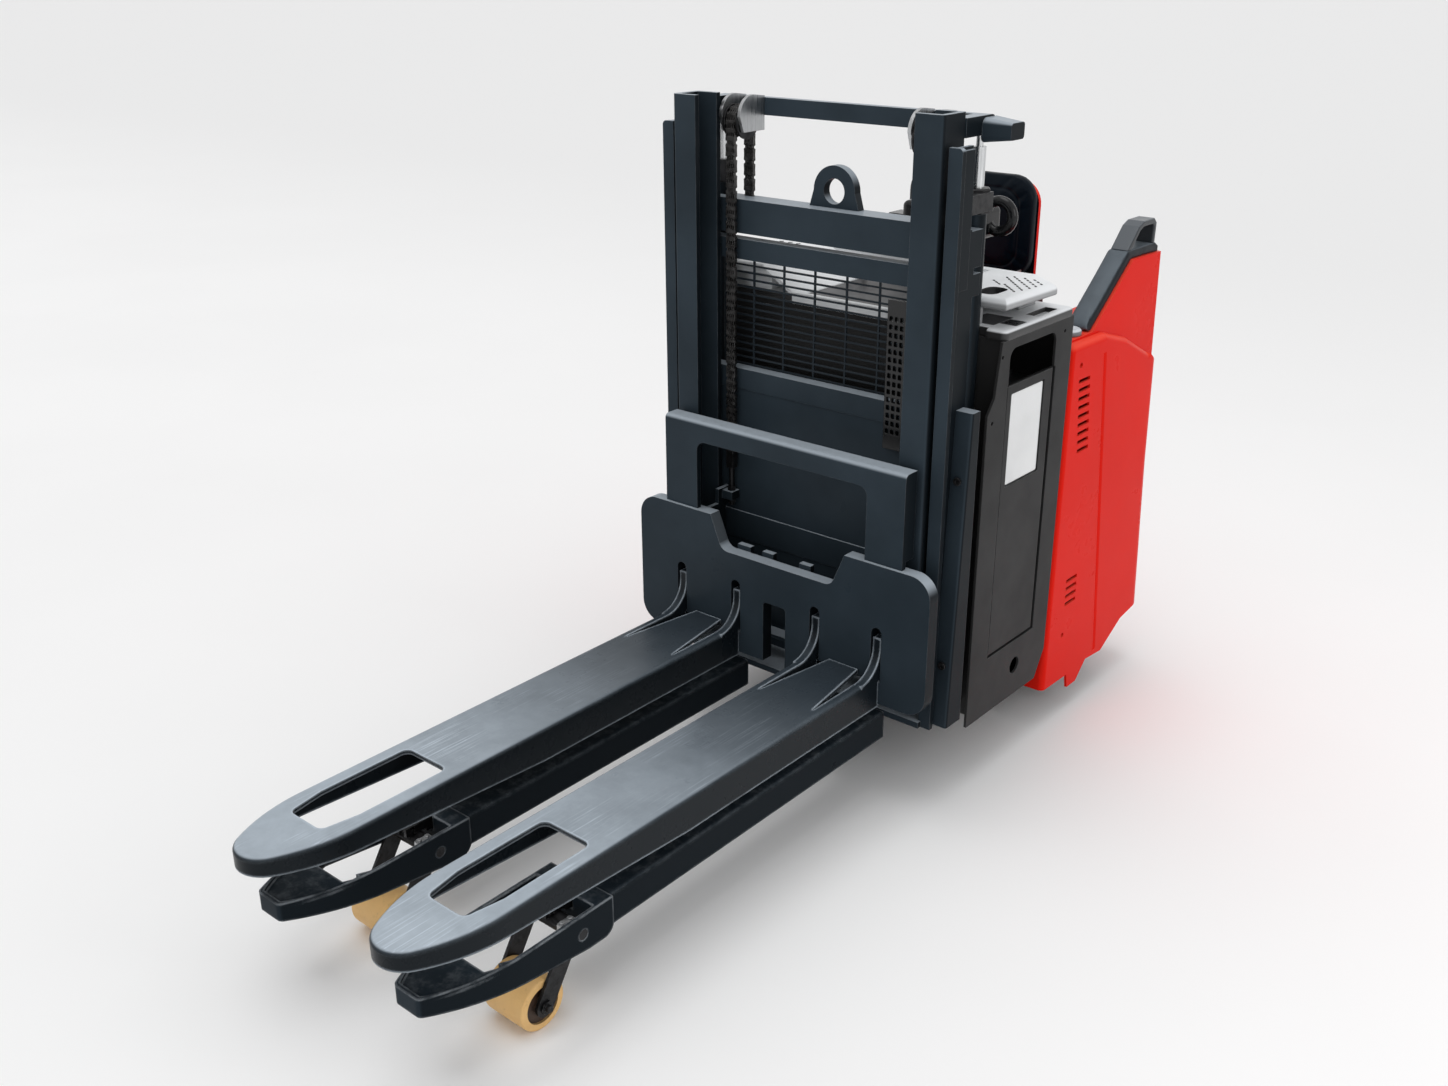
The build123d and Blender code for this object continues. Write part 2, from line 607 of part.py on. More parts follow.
with BuildPart() as mast_covers:
    with BuildSketch(side_plane(COVER_IN)):
        outline([
            (COVER_FRONT[0], COVER_H[0]),
            (COVER_REAR, COVER_H[0]),
            (COVER_REAR, COVER_H[1]),
            (COVER_FRONT[1], COVER_H[1]),
        ])
    extrude(amount=HALF - COVER_IN)
    lean_edge = mast_covers.edges().filter_by(lambda e: e.bounding_box().size.Z > 300).sort_by(Axis.Y)[:2]
    fillet(lean_edge.sort_by(Axis.X)[-1], radius=6)
    with BuildSketch(side_plane(COVER_IN - 1)):
        outline([
            (COVER_FRONT[0] + 6, COVER_H[0] - 1),
            (COVER_REAR + 1, COVER_H[0] - 1),
            (COVER_REAR + 1, COVER_H[1] - 6),
            (COVER_FRONT[1] + 6, COVER_H[1] - 6),
        ])
    extrude(amount=HALF - COVER_IN - 5, mode=Mode.SUBTRACT)
    for h in SCREW_H:
        rod_y(SCREW_X, (cover_y(h) - 2, cover_y(h) + 12), h, 4, mode=Mode.SUBTRACT)
    mirror(about=Plane.YZ)
keep(mast_covers, "mast_covers")

with BuildPart() as cover_screws:
    for h in SCREW_H:
        rod_y(SCREW_X, (cover_y(h) - 1, cover_y(h) + 10), h, 4)
        with BuildSketch(front_plane(cover_y(h) - 0.4)):
            with Locations((SCREW_X, h)):
                Circle(8.5)
        extrude(amount=5)
        rod_y(SCREW_X, (cover_y(h) - 6, cover_y(h) - 3), h, 4.2, mode=Mode.SUBTRACT)
    mirror(about=Plane.YZ)
keep(cover_screws, "cover_screws")

# Lift cylinders behind the rails
with BuildPart() as lift_cylinders:
    rod_z(CYLINDER_X, CYLINDER_Y, (FOOT_TOP, GLAND_LOW), TUBE_R)
    rod_z(CYLINDER_X, CYLINDER_Y, (FOOT_TOP + 30, GLAND_LOW + 1), ROD_R + RUN, mode=Mode.SUBTRACT)
    mirror(about=Plane.YZ)
keep(lift_cylinders, "lift_cylinders")

with BuildPart() as cylinder_glands:
    with BuildSketch(Plane(origin=(CYLINDER_X, FACE_Y + CYLINDER_Y, GLAND_LOW))):
        RegularPolygon(TUBE_R + 5, 8, rotation=11)
    extrude(amount=GLAND_TOP - GLAND_LOW)
    collar = cylinder_glands.edges().filter_by(GeomType.LINE).group_by(Axis.Z)
    chamfer(collar[0] + collar[-1], length=2.5)
    clamp_x = (CYLINDER_X + 4, CYLINDER_X + TUBE_R + 8)
    slab(clamp_x, (OUTER_REAR + 2, CYLINDER_Y + 12), (GLAND_LOW + 6, GLAND_TOP - 6))
    rod_z(CYLINDER_X, CYLINDER_Y, (GLAND_LOW - 1, GLAND_TOP + 1), ROD_R + RUN, mode=Mode.SUBTRACT)
    mirror(about=Plane.YZ)
keep(cylinder_glands, "cylinder_glands")

with BuildPart() as lift_rods:
    rod_z(CYLINDER_X, CYLINDER_Y, (420, ROD_TOP), ROD_R)
    rod_z(CYLINDER_X, CYLINDER_Y, (ROD_TOP, HEAD_LOW), 7)
    mirror(about=Plane.YZ)
keep(lift_rods, "lift_rods")

# Support arms: inverted channels running under the carriage to the foot plate
with BuildPart() as support_arms:
    arm_x = (FORK_CENTRE - ARM_HALF, FORK_CENTRE + ARM_HALF)
    slab(arm_x, (-TIP_REAR, ARM_END), (ARM_LOW, ARM_TOP))
    fillet(support_arms.edges().filter_by(Axis.Y).group_by(Axis.Z)[-1], radius=7)
    arm_inside = (FORK_CENTRE - ARM_HALF + ARM_WALL, FORK_CENTRE + ARM_HALF - ARM_WALL)
    slab(arm_inside, (-TIP_REAR - 1, ARM_END + 1), (ARM_LOW - 1, ARM_TOP - ARM_WALL), mode=Mode.SUBTRACT)
    mirror(about=Plane.YZ)
keep(support_arms, "support_arms")

def tip_outline(inset, rear):
    """Plan of an arm tip drawn in by an inset, closed across at rear."""
    side = TIP_HALF - inset
    nose = TIP_NOSE_HALF - inset / 2
    begin = max(TIP_TAPER, rear)
    reach = TIP_REACH - inset
    left_middle = nose_point(FORK_CENTRE, -side, -nose, begin, reach)
    right_middle = nose_point(FORK_CENTRE, side, nose, begin, reach)
    ThreePointArc((FORK_CENTRE - side, -begin), left_middle, (FORK_CENTRE - nose, -reach))
    Line((FORK_CENTRE - nose, -reach), (FORK_CENTRE + nose, -reach))
    ThreePointArc((FORK_CENTRE + nose, -reach), right_middle, (FORK_CENTRE + side, -begin))
    if rear < begin:
        Polyline(
            (FORK_CENTRE + side, -begin),
            (FORK_CENTRE + side, -rear),
            (FORK_CENTRE - side, -rear),
            (FORK_CENTRE - side, -begin),
        )
    else:
        Line((FORK_CENTRE + side, -begin), (FORK_CENTRE - side, -begin))


# Arm tips: castings open above and below for the load wheel
with BuildPart() as arm_tips:
    with BuildSketch(plan_plane(TIP_LOW)):
        with BuildLine():
            tip_outline(0, TIP_REAR)
        make_face()
    extrude(amount=TIP_TOP - TIP_LOW)
    upright_edges = arm_tips.edges().filter_by(Axis.Z).sort_by(Axis.Y)[:2]
    fillet(upright_edges, radius=12)
    rear_low = arm_tips.edges().filter_by(Axis.X).group_by(Axis.Z)[0].sort_by(Axis.Y)[-1]
    fillet(rear_low, radius=24)
    with BuildSketch(side_plane(FORK_CENTRE - TIP_HALF - 5)):
        outline([
            (-850, TIP_LOW),
            (-TIP_REACH - 10, TIP_LOW + 41),
            (-TIP_REACH - 10, TIP_LOW - 5),
            (-850, TIP_LOW - 5),
        ])
    extrude(amount=2 * TIP_HALF + 10, mode=Mode.SUBTRACT)
    with BuildSketch(plan_plane(TIP_LOW - 5)):
        outline([
            (FORK_CENTRE - TIP_HALF + TIP_WALL, -832),
            (FORK_CENTRE - TIP_HALF + TIP_WALL, -TIP_TAPER - 33),
            (FORK_CENTRE - 50, -1062),
            (FORK_CENTRE + 50, -1062),
            (FORK_CENTRE + TIP_HALF - TIP_WALL, -TIP_TAPER - 33),
            (FORK_CENTRE + TIP_HALF - TIP_WALL, -832),
        ])
    extrude(amount=TIP_TOP - TIP_LOW + 10, mode=Mode.SUBTRACT)
    with BuildSketch(plan_plane(TIP_TOP - TIP_SCOOP)):
        with BuildLine():
            tip_outline(TIP_SCOOP, 1040)
        make_face()
    extrude(amount=TIP_SCOOP + 1, mode=Mode.SUBTRACT)
    slab((FORK_CENTRE - 18, FORK_CENTRE + 18), (-840, -TIP_REAR + 1), (174, TIP_TOP + 1), mode=Mode.SUBTRACT)
    tip_x = (FORK_CENTRE - TIP_HALF - 1, FORK_CENTRE + TIP_HALF + 1)
    rod_x(tip_x, PIVOT_Y, PIVOT_H, PIVOT_R + RUN, mode=Mode.SUBTRACT)
    mirror(about=Plane.YZ)
keep(arm_tips, "arm_tips")

with BuildPart() as lever_pins:
    rod_x((FORK_CENTRE - TIP_HALF, FORK_CENTRE + TIP_HALF), PIVOT_Y, PIVOT_H, PIVOT_R)
    mirror(about=Plane.YZ)
keep(lever_pins, "lever_pins")

# Load wheel levers: two plates on a hub, with an ear that the push rod moves
with BuildPart() as load_levers:
    fall = math.asin(WHEEL_DROP / LEVER)
    across = (LEVER_R * math.sin(fall), LEVER_R * math.cos(fall))
    for x in (FORK_CENTRE - 56, FORK_CENTRE + 49.5):
        with BuildSketch(side_plane(x)):
            outline([
                (PIVOT_Y - across[0], PIVOT_H + across[1]),
                (WHEEL_Y - across[0], WHEEL_R + across[1]),
                (WHEEL_Y + across[0], WHEEL_R - across[1]),
                (PIVOT_Y + across[0], PIVOT_H - across[1]),
            ])
            with Locations((PIVOT_Y, PIVOT_H), (WHEEL_Y, WHEEL_R)):
                Circle(LEVER_R)
        extrude(amount=6.5)
    rod_x((FORK_CENTRE - 50, FORK_CENTRE + 50), PIVOT_Y, PIVOT_H, EYE_R)
    ear_y = PIVOT_Y - EAR * math.sin(SWING / 2)
    ear_h = PIVOT_H + EAR * math.cos(SWING / 2)
    lean = (9 * math.cos(SWING / 2), 9 * math.sin(SWING / 2))
    with BuildSketch(side_plane(FORK_CENTRE - 7)):
        outline([
            (PIVOT_Y - lean[0], PIVOT_H - lean[1]),
            (PIVOT_Y + lean[0], PIVOT_H + lean[1]),
            (ear_y + lean[0], ear_h + lean[1]),
            (ear_y - lean[0], ear_h - lean[1]),
        ])
        with Locations((ear_y, ear_h)):
            Circle(9)
    extrude(amount=14)
    rod_x((FORK_CENTRE - 15, FORK_CENTRE + 15), ear_y, ear_h, EAR_PIN)
    rod_x((FORK_CENTRE - 60, FORK_CENTRE + 60), PIVOT_Y, PIVOT_H, PIVOT_R + RUN, mode=Mode.SUBTRACT)
    rod_x((FORK_CENTRE - 60, FORK_CENTRE + 60), WHEEL_Y, WHEEL_R, AXLE_R + RUN, mode=Mode.SUBTRACT)
    mirror(about=Plane.YZ)
keep(load_levers, "load_levers")

with BuildPart() as wheel_axles:
    rod_x((FORK_CENTRE - 56, FORK_CENTRE + 56), WHEEL_Y, WHEEL_R, AXLE_R)
    for x in (FORK_CENTRE - 60, FORK_CENTRE + 56):
        with BuildSketch(side_plane(x)):
            with Locations((WHEEL_Y, WHEEL_R)):
                RegularPolygon(13, 6)
        extrude(amount=4)
    for x in ((FORK_CENTRE - 69, FORK_CENTRE - 60), (FORK_CENTRE + 60, FORK_CENTRE + 69)):
        rod_x(x, WHEEL_Y, WHEEL_R, AXLE_R - 1)
    stub_ends = wheel_axles.edges().filter_by(GeomType.CIRCLE).group_by(Axis.X)
    chamfer(stub_ends[0] + stub_ends[-1], length=2)
    mirror(about=Plane.YZ)
keep(wheel_axles, "wheel_axles")


def make_load_wheel(side):
    """Solid tyre with dished ends on its axle."""
    x = side * FORK_CENTRE
    with BuildPart() as wheel:
        rod_x((x - WHEEL_HALF, x + WHEEL_HALF), WHEEL_Y, WHEEL_R, WHEEL_R)
        fillet(wheel.edges().filter_by(GeomType.CIRCLE), radius=4)
        for end in (-1, 1):
            dish = sorted((x + end * (WHEEL_HALF - 5), x + end * (WHEEL_HALF + 1)))
            rod_x(dish, WHEEL_Y, WHEEL_R, 36, mode=Mode.SUBTRACT)
            hub = sorted((x + end * (WHEEL_HALF - 6), x + end * (WHEEL_HALF + 1)))
            rod_x(hub, WHEEL_Y, WHEEL_R, 18)
        rod_x((x - 60, x + 60), WHEEL_Y, WHEEL_R, AXLE_R + RUN, mode=Mode.SUBTRACT)
    return wheel


keep(make_load_wheel(-1), "load_wheel_left")
keep(make_load_wheel(1), "load_wheel_right")

# Push rods inside the arms: a bar with two slotted straps around the lever ear
with BuildPart() as push_rods:
    slab((FORK_CENTRE - 15, FORK_CENTRE + 15), (PIVOT_Y + 20, 10), (178, 190))
    slab((FORK_CENTRE - 15, FORK_CENTRE + 15), (PIVOT_Y - 28, PIVOT_Y + 34), (186, 204))
    slab((FORK_CENTRE - 7.6, FORK_CENTRE + 7.6), (PIVOT_Y - 30, PIVOT_Y + 14), (170, 206), mode=Mode.SUBTRACT)
    eye_slot = (ear_y - EAR_PIN - 0.6, ear_y + EAR_PIN + 0.6)
    slab((FORK_CENTRE - 16, FORK_CENTRE + 16), eye_slot, (184, 202.5), mode=Mode.SUBTRACT)
    mirror(about=Plane.YZ)
keep(push_rods, "push_rods")

# Battery box: sheet walls, wings beside the cylinders, and guide blocks and hood hinges on its back
BOX_IN = HALF - SHEET
DOOR_GAP = (250.0, 450.0)
with BuildPart() as battery_box:
    with BuildSketch(side_plane(BOX_IN)) as wall:
        outline([
            (178, BOX_LOW),
            (478, BOX_LOW),
            (BOX_REAR, 225),
            (BOX_REAR, BOX_TOP),
            (220, BOX_TOP),
            (202, 899),
            (178, 868),
        ])
        with Locations((348, 941)):
            RectangleRounded(192, 102, 22, mode=Mode.SUBTRACT)
        with Locations(((DOOR_GAP[0] + DOOR_GAP[1]) / 2, 608)):
            Rectangle(DOOR_GAP[1] - DOOR_GAP[0], 616, mode=Mode.SUBTRACT)
        with Locations((376, 235)):
            Circle(20, mode=Mode.SUBTRACT)
        with Locations((198, 850), (222, 981), (480, 985)):
            Circle(4.5, mode=Mode.SUBTRACT)
    extrude(amount=SHEET)
    mirror(about=Plane.YZ)
    slab((-BOX_IN, BOX_IN), (BOX_FRONT, BOX_FRONT + SHEET), (BOX_LOW, BOX_TOP))
    slab((-BOX_IN, BOX_IN), (BOX_REAR - SHEET, BOX_REAR), (225, BOX_TOP))
    slab((-BOX_IN, BOX_IN), (BOX_FRONT, 478), (BOX_LOW - 6, BOX_LOW + 4))
    with BuildSketch(side_plane(-BOX_IN)):
        outline([(472, BOX_LOW - 4), (478, BOX_LOW), (BOX_REAR, 225), (BOX_REAR - SHEET, 228)])
    extrude(amount=2 * BOX_IN)
    for side in (-1, 1):
        block = sorted((side * (GUIDE_IN + 10), side * (GUIDE_IN + 46)))
        for h in (300, 600):
            slab(block, (BOX_REAR, BULKHEAD - 8), (h, h + 60))
    slab((-25, 25), (BOX_REAR, LIFT_Y + 13), (560, 576))
    for side in (-1, 1):
        lug = sorted((side * 150, side * 158))
        slab(lug, (BOX_REAR, HINGE_Y + 9), (960, BOX_TOP - 4))
        slab(lug, (HINGE_Y - 5.5, HINGE_Y + 9), (BOX_TOP - 8, HINGE_H + 10))
        rod_x(sorted((side * 128, side * 152)), HINGE_Y, HINGE_H, HINGE_PIN)
keep(battery_box, "battery_box")

with BuildPart() as battery:
    slab((-370, 370), (252, 462), (BOX_LOW + 4, 880))
    fillet(battery.edges().filter_by(Axis.Z), radius=10)
    for x in (-240, -80, 80, 240):
        slab((x - 60, x + 60), (275, 440), (880, 892))
keep(battery, "battery")

with BuildPart() as side_doors:
    slab((BOX_IN, HALF), (DOOR_GAP[0] + 2, DOOR_GAP[1] - 12), (308, 914))
    slab((BOX_IN - 4, BOX_IN), (DOOR_GAP[0] - 4, DOOR_GAP[1] + 6), (294, 914))
    slab((BOX_IN + 3, HALF + 1), (269, 406), (693, 897), mode=Mode.SUBTRACT)
    mirror(about=Plane.YZ)
keep(side_doors, "side_doors")

with BuildPart() as initial_lift_rod:
    rod_z(0, LIFT_Y, (255, 560), LIFT_ROD)
keep(initial_lift_rod, "initial_lift_rod")

# Hood over the battery, its moulded tray and its latch
LATCH_X = (346.0, 384.0)
LATCH_Y = (286.0, 330.0)
with BuildPart() as battery_hood:
    slab((-HALF, HALF), (229, BOX_REAR), (BOX_TOP, HOOD_TOP))
    fillet(battery_hood.edges().filter_by(Axis.Z), radius=12)
    fillet(battery_hood.faces().sort_by(Axis.Z)[-1].edges(), radius=9)
    slab(LATCH_X, LATCH_Y, (HOOD_TOP - 13, HOOD_TOP + 1), mode=Mode.SUBTRACT)
    slab((350, 378), (385, 470), (HOOD_TOP - 10, HOOD_TOP + 1), mode=Mode.SUBTRACT)
    for side in (-1, 1):
        notch = sorted((side * (CYLINDER_X - TUBE_R - 5), side * (CYLINDER_X + TUBE_R + 5)))
        slab(notch, (228, 240), (BOX_TOP - 1, HOOD_TOP + 1), mode=Mode.SUBTRACT)
keep(battery_hood, "battery_hood")

with BuildPart() as hood_latch:
    slab((LATCH_X[0] + 2, LATCH_X[1] - 3), (LATCH_Y[0] + 0.5, LATCH_Y[1] - 0.5), (HOOD_TOP - 8, HOOD_TOP))
    rod_y(LATCH_X[1] - 6, (LATCH_Y[0] + 0.5, LATCH_Y[1] - 0.5), HOOD_TOP - 6, 4)
keep(hood_latch, "hood_latch")

def is_corner(vertex, points):
    """Whether a vertex of the tray is one of its drawn corners, on either side."""
    return any(math.dist((abs(vertex.X), vertex.Y - FACE_Y), point) < 0.1 for point in points)


VALLEY_X = (205.0, 112.0)
VALLEY_Y = (212.0, 472.0)
CUP_AT = (314.0, 304.0)
with BuildPart() as hood_tray:
    tray_points = [(288, 206), (291, 244), (380, 248), (388, 442), (312, 508)]
    with BuildSketch(plan_plane(TRAY_LOW)) as tray:
        outline(tray_points + [(-x, y) for x, y in reversed(tray_points)])
        corners = tray.vertices().group_by(Axis.Y)
        fillet(corners[0], radius=14)
        inward = tray.vertices().filter_by(lambda v: abs(v.Y - FACE_Y - 244) < 1 and abs(v.X) < 300)
        fillet(inward, radius=18)
        outward = tray.vertices().filter_by(
            lambda v: abs(v.X) > 311 and v.Y - FACE_Y > 246 and is_corner(v, tray_points)
        )
        fillet(outward, radius=38)
    extrude(amount=TRAY_TOP - TRAY_LOW)
    fillet(hood_tray.faces().sort_by(Axis.Z)[-1].edges(), radius=13)
    fillet(hood_tray.faces().sort_by(Axis.Z)[0].edges(), radius=6)
    for side in (-1, 1):
        with BuildSketch(front_plane(VALLEY_Y[0])):
            outline([
                (side * VALLEY_X[0], TRAY_TOP - 3),
                (side * VALLEY_X[1], HOOD_TOP),
                (side * (VALLEY_X[1] + 14), HOOD_TOP),
                (side * (VALLEY_X[0] + 14), TRAY_TOP - 3),
            ])
        extrude(amount=VALLEY_Y[0] - VALLEY_Y[1] - 15)
    slab((-VALLEY_X[1] - 14, VALLEY_X[1] + 14), (VALLEY_Y[0], 227), (HOOD_TOP - 16, HOOD_TOP + 8))
    with BuildSketch(front_plane(VALLEY_Y[0] - 20)):
        rise = TRAY_TOP - 3 - HOOD_TOP
        lean = (VALLEY_X[0] - VALLEY_X[1]) / rise
        outline([
            (-VALLEY_X[0] - 5 * lean, TRAY_TOP + 2),
            (VALLEY_X[0] + 5 * lean, TRAY_TOP + 2),
            (VALLEY_X[1] + 8 * lean, HOOD_TOP + 8),
            (-VALLEY_X[1] - 8 * lean, HOOD_TOP + 8),
        ])
    extrude(amount=VALLEY_Y[0] - 20 - VALLEY_Y[1], mode=Mode.SUBTRACT)
    with BuildSketch(front_plane(227)):
        outline([
            (-VALLEY_X[1] - 8 * lean, HOOD_TOP + 8),
            (VALLEY_X[1] + 8 * lean, HOOD_TOP + 8),
            (VALLEY_X[1], HOOD_TOP),
            (-VALLEY_X[1], HOOD_TOP),
        ])
    extrude(amount=227 - VALLEY_Y[1], mode=Mode.SUBTRACT)
    with BuildSketch(plan_plane(TRAY_LOW - 1)):
        with Locations((CUP_AT[0], CUP_AT[1]), (-CUP_AT[0], CUP_AT[1])):
            RectangleRounded(46, 70, 18)
    extrude(amount=30, mode=Mode.SUBTRACT)
    for side in (-1, 1):
        foot = sorted((side * 200, side * 320))
        slab(foot, (410, 480), (HOOD_TOP, TRAY_LOW))
        slab(foot, (234, 262), (HOOD_TOP, TRAY_LOW))
        knuckle = sorted((side * 130, side * 149.5))
        rod_x(knuckle, HINGE_Y, HINGE_H, 9)
        slab(knuckle, (500, HINGE_Y), (HINGE_H - 7, HINGE_H + 9))
        rod_x(knuckle, HINGE_Y, HINGE_H, HINGE_PIN + RUN, mode=Mode.SUBTRACT)
keep(hood_tray, "hood_tray")

# Chassis of the drive unit: floor plate, bulkhead with lift guides, bridges for drive and castor
with BuildPart() as chassis:
    with BuildSketch(plan_plane(BASE_LOW)):
        outline([(-380, 540), (380, 540), (380, 830), (232, 1000), (-232, 1000), (-380, 830)])
    extrude(amount=BASE_TOP - BASE_LOW)
    slab((-40, 40), (519, 540), (BASE_LOW, BASE_TOP))
    slab((-375, 375), (BULKHEAD, BULKHEAD + 6), (BASE_TOP, 900))
    rod_z(DRIVE_X, DRIVE_Y, (BASE_LOW - 1, BASE_TOP + 1), 126, mode=Mode.SUBTRACT)
    rod_z(CASTOR_X, CASTOR_Y, (BASE_LOW - 1, BASE_TOP + 1), 97, mode=Mode.SUBTRACT)
    for side in (-1, 1):
        for x in (GUIDE_IN, GUIDE_IN + 8 + GUIDE_GAP):
            slab(sorted((side * x, side * (x + 8))), (530, BULKHEAD), (130, 760))
    slab((-376, -136), (BULKHEAD + 6, 812), (248, 262))
    slab((-376, -136), (818, 824), (BASE_TOP, 262))
    slab((-376, -136), (812, 818), (248, 262))
    rod_z(DRIVE_X, DRIVE_Y, (247, 263), 35 + RUN, mode=Mode.SUBTRACT)
    slab((CASTOR_X - 45, CASTOR_X + 45), (CASTOR_Y - 105, CASTOR_Y + 105), (160, 170))
    for y in (CASTOR_Y - 105, CASTOR_Y + 99):
        slab((CASTOR_X - 45, CASTOR_X + 45), (y, y + 6), (BASE_TOP, 160))
    rod_z(CASTOR_X, CASTOR_Y, (159, 171), 12 + RUN, mode=Mode.SUBTRACT)
    for x in ((-117, -109), (221, 229)):
        slab(x, (714, 730), (BASE_TOP, 185))
    rod_x((-110, 222), 722, 178, 6)
keep(chassis, "chassis")

with BuildPart() as initial_lift_cylinder:
    rod_z(0, LIFT_Y, (BASE_TOP, 345), 15)
    rod_z(0, LIFT_Y, (BASE_TOP + 15, 346), LIFT_ROD + RUN, mode=Mode.SUBTRACT)
keep(initial_lift_cylinder, "initial_lift_cylinder")

# Red shells of the drive unit: columns that lean forward at the back, over a shaped skirt
SKIRT = [(527, 103), (648, 100), (656, 62), (700, 62), (745, 104), (827, 96), (927, 149), (REAR_REACH, 165)]
REAR_MID = (1003.0, 562.0)
SLOPE_LOW = (643.0, 938.0)
SLOPE_TOP = (826.0, 1078.0)
CREST = (976.0, 1075.0)
LEDGE = 20.0
UPPER_IN = 312.0
CREASE = ((684.0, 895.0), (789.0, 112.0))
VENT_W = 52.0
VENT_H = 9.0


def rear_y(h):
    """Back of a column at a height above its middle."""
    return REAR_MID[0] + (CREST[0] - REAR_MID[0]) * (h - REAR_MID[1]) / (CREST[1] - REAR_MID[1])


BODY = SKIRT + [REAR_MID, (rear_y(SHOULDER), SHOULDER), (UNIT_FRONT, SHOULDER)]
HOLLOW = [
    (UNIT_FRONT + SHELL, 40),
    (REAR_REACH - 70, 40),
    (REAR_REACH - 70, 165),
    (REAR_MID[0] - 48, REAR_MID[1]),
    (rear_y(SHOULDER) - 48, SHOULDER - 14),
    (UNIT_FRONT + SHELL, SHOULDER - 14),
]


def cut_vents(side):
    """Slanted rows of cooling slots through the outer wall of a column."""
    wall = sorted((side * (HALF - LEDGE - SHELL - 1), side * (HALF + 1)))
    for step in range(9):
        y = 568 + step * 2.75
        h = 848 - step * 20.75
        slab(wall, (y, y + VENT_W), (h, h + VENT_H), mode=Mode.SUBTRACT)
    for step in range(4):
        h = 358 - step * 20
        slab(wall, (600 + step, 600 + step + VENT_W), (h, h + VENT_H), mode=Mode.SUBTRACT)
    for y, h in ((572, 890), (605, 223)):
        rod_x(wall, y, h, 6, mode=Mode.SUBTRACT)


with BuildPart() as right_shell:
    with BuildSketch(side_plane(SHELL_IN)):
        outline(BODY)
    extrude(amount=HALF - LEDGE - SHELL_IN)
    with BuildSketch(side_plane(UPPER_IN)):
        outline([
            (SLOPE_LOW[0] - 20, SHOULDER - 40),
            SLOPE_LOW,
            SLOPE_TOP,
            CREST,
            (rear_y(SHOULDER - 40), SHOULDER - 40),
        ])
    extrude(amount=HALF - LEDGE - UPPER_IN)
    with BuildSketch(side_plane(HALF - LEDGE)):
        outline(SKIRT + [REAR_MID, (rear_y(800), 800), (925, 846), (800, 906), (690, 938), (UNIT_FRONT, 941)])
    extrude(amount=LEDGE)
    rear_edges = right_shell.edges().filter_by(
        lambda e: e.center().X > HALF - 1 and e.center().Y > FACE_Y + 980 and e.bounding_box().size.Z > 200
    )
    fillet(rear_edges, radius=45)
    front_edge = right_shell.edges().filter_by(Axis.Z).group_by(Axis.X)[-1].sort_by(Axis.Y)[0]
    fillet(front_edge, radius=14)
    ledge_edges = right_shell.edges().filter_by(
        lambda e: abs(e.center().X - HALF) < 0.1 and e.center().Y < FACE_Y + 900 and 860 < e.center().Z < 945
    )
    fillet(ledge_edges, radius=LEDGE - 3)
    with BuildSketch(side_plane(SHELL_IN + SHELL)):
        outline(HOLLOW)
    extrude(amount=HALF - LEDGE - SHELL - SHELL_IN - SHELL, mode=Mode.SUBTRACT)
    with BuildSketch(side_plane(HALF - LEDGE - SHELL - 1)):
        under_ledge = [(rear_y(780) - 48, 780), (800, 850), (690, 905), (UNIT_FRONT + SHELL, 905)]
        outline(HOLLOW[:4] + under_ledge)
    extrude(amount=LEDGE + 1, mode=Mode.SUBTRACT)
    with BuildSketch(side_plane(UPPER_IN + 8)):
        outline([
            (SLOPE_LOW[0] + 42, SHOULDER - 20),
            (SLOPE_TOP[0] + 6, SLOPE_TOP[1] - 19),
            (CREST[0] - 46, SLOPE_TOP[1] - 19),
            (rear_y(SHOULDER) - 46, SHOULDER - 20),
        ])
    extrude(amount=HALF - LEDGE - UPPER_IN - 17, mode=Mode.SUBTRACT)
    crease_run = math.dist(*CREASE)
    crease_way = (0, (CREASE[1][0] - CREASE[0][0]) / crease_run, (CREASE[1][1] - CREASE[0][1]) / crease_run)
    crease_top = (HALF, FACE_Y + CREASE[0][0], CREASE[0][1])
    with BuildSketch(Plane(origin=crease_top, x_dir=(1, 0, 0), z_dir=crease_way)):
        outline([(1, -10), (1, 10), (-3.2, 0)])
    extrude(amount=crease_run, mode=Mode.SUBTRACT)
    slab((SHELL_IN - 1, 332), (UNIT_FRONT - 1, 570), (50, 790), mode=Mode.SUBTRACT)
    inner_wall = (SHELL_IN - 1, SHELL_IN + SHELL + 1)
    slab(inner_wall, (UNIT_FRONT - 1, 570), (50, SHOULDER - 14), mode=Mode.SUBTRACT)
    slab((SHELL_IN - 1, HALF - SHELL - 4), (535, 1012), (50, BASE_TOP), mode=Mode.SUBTRACT)
    slab((SHELL_IN - 1, SHELL_IN + SHELL + 1), (742, 958), (50, 164), mode=Mode.SUBTRACT)
    cut_vents(1)
keep(right_shell, "right_shell")

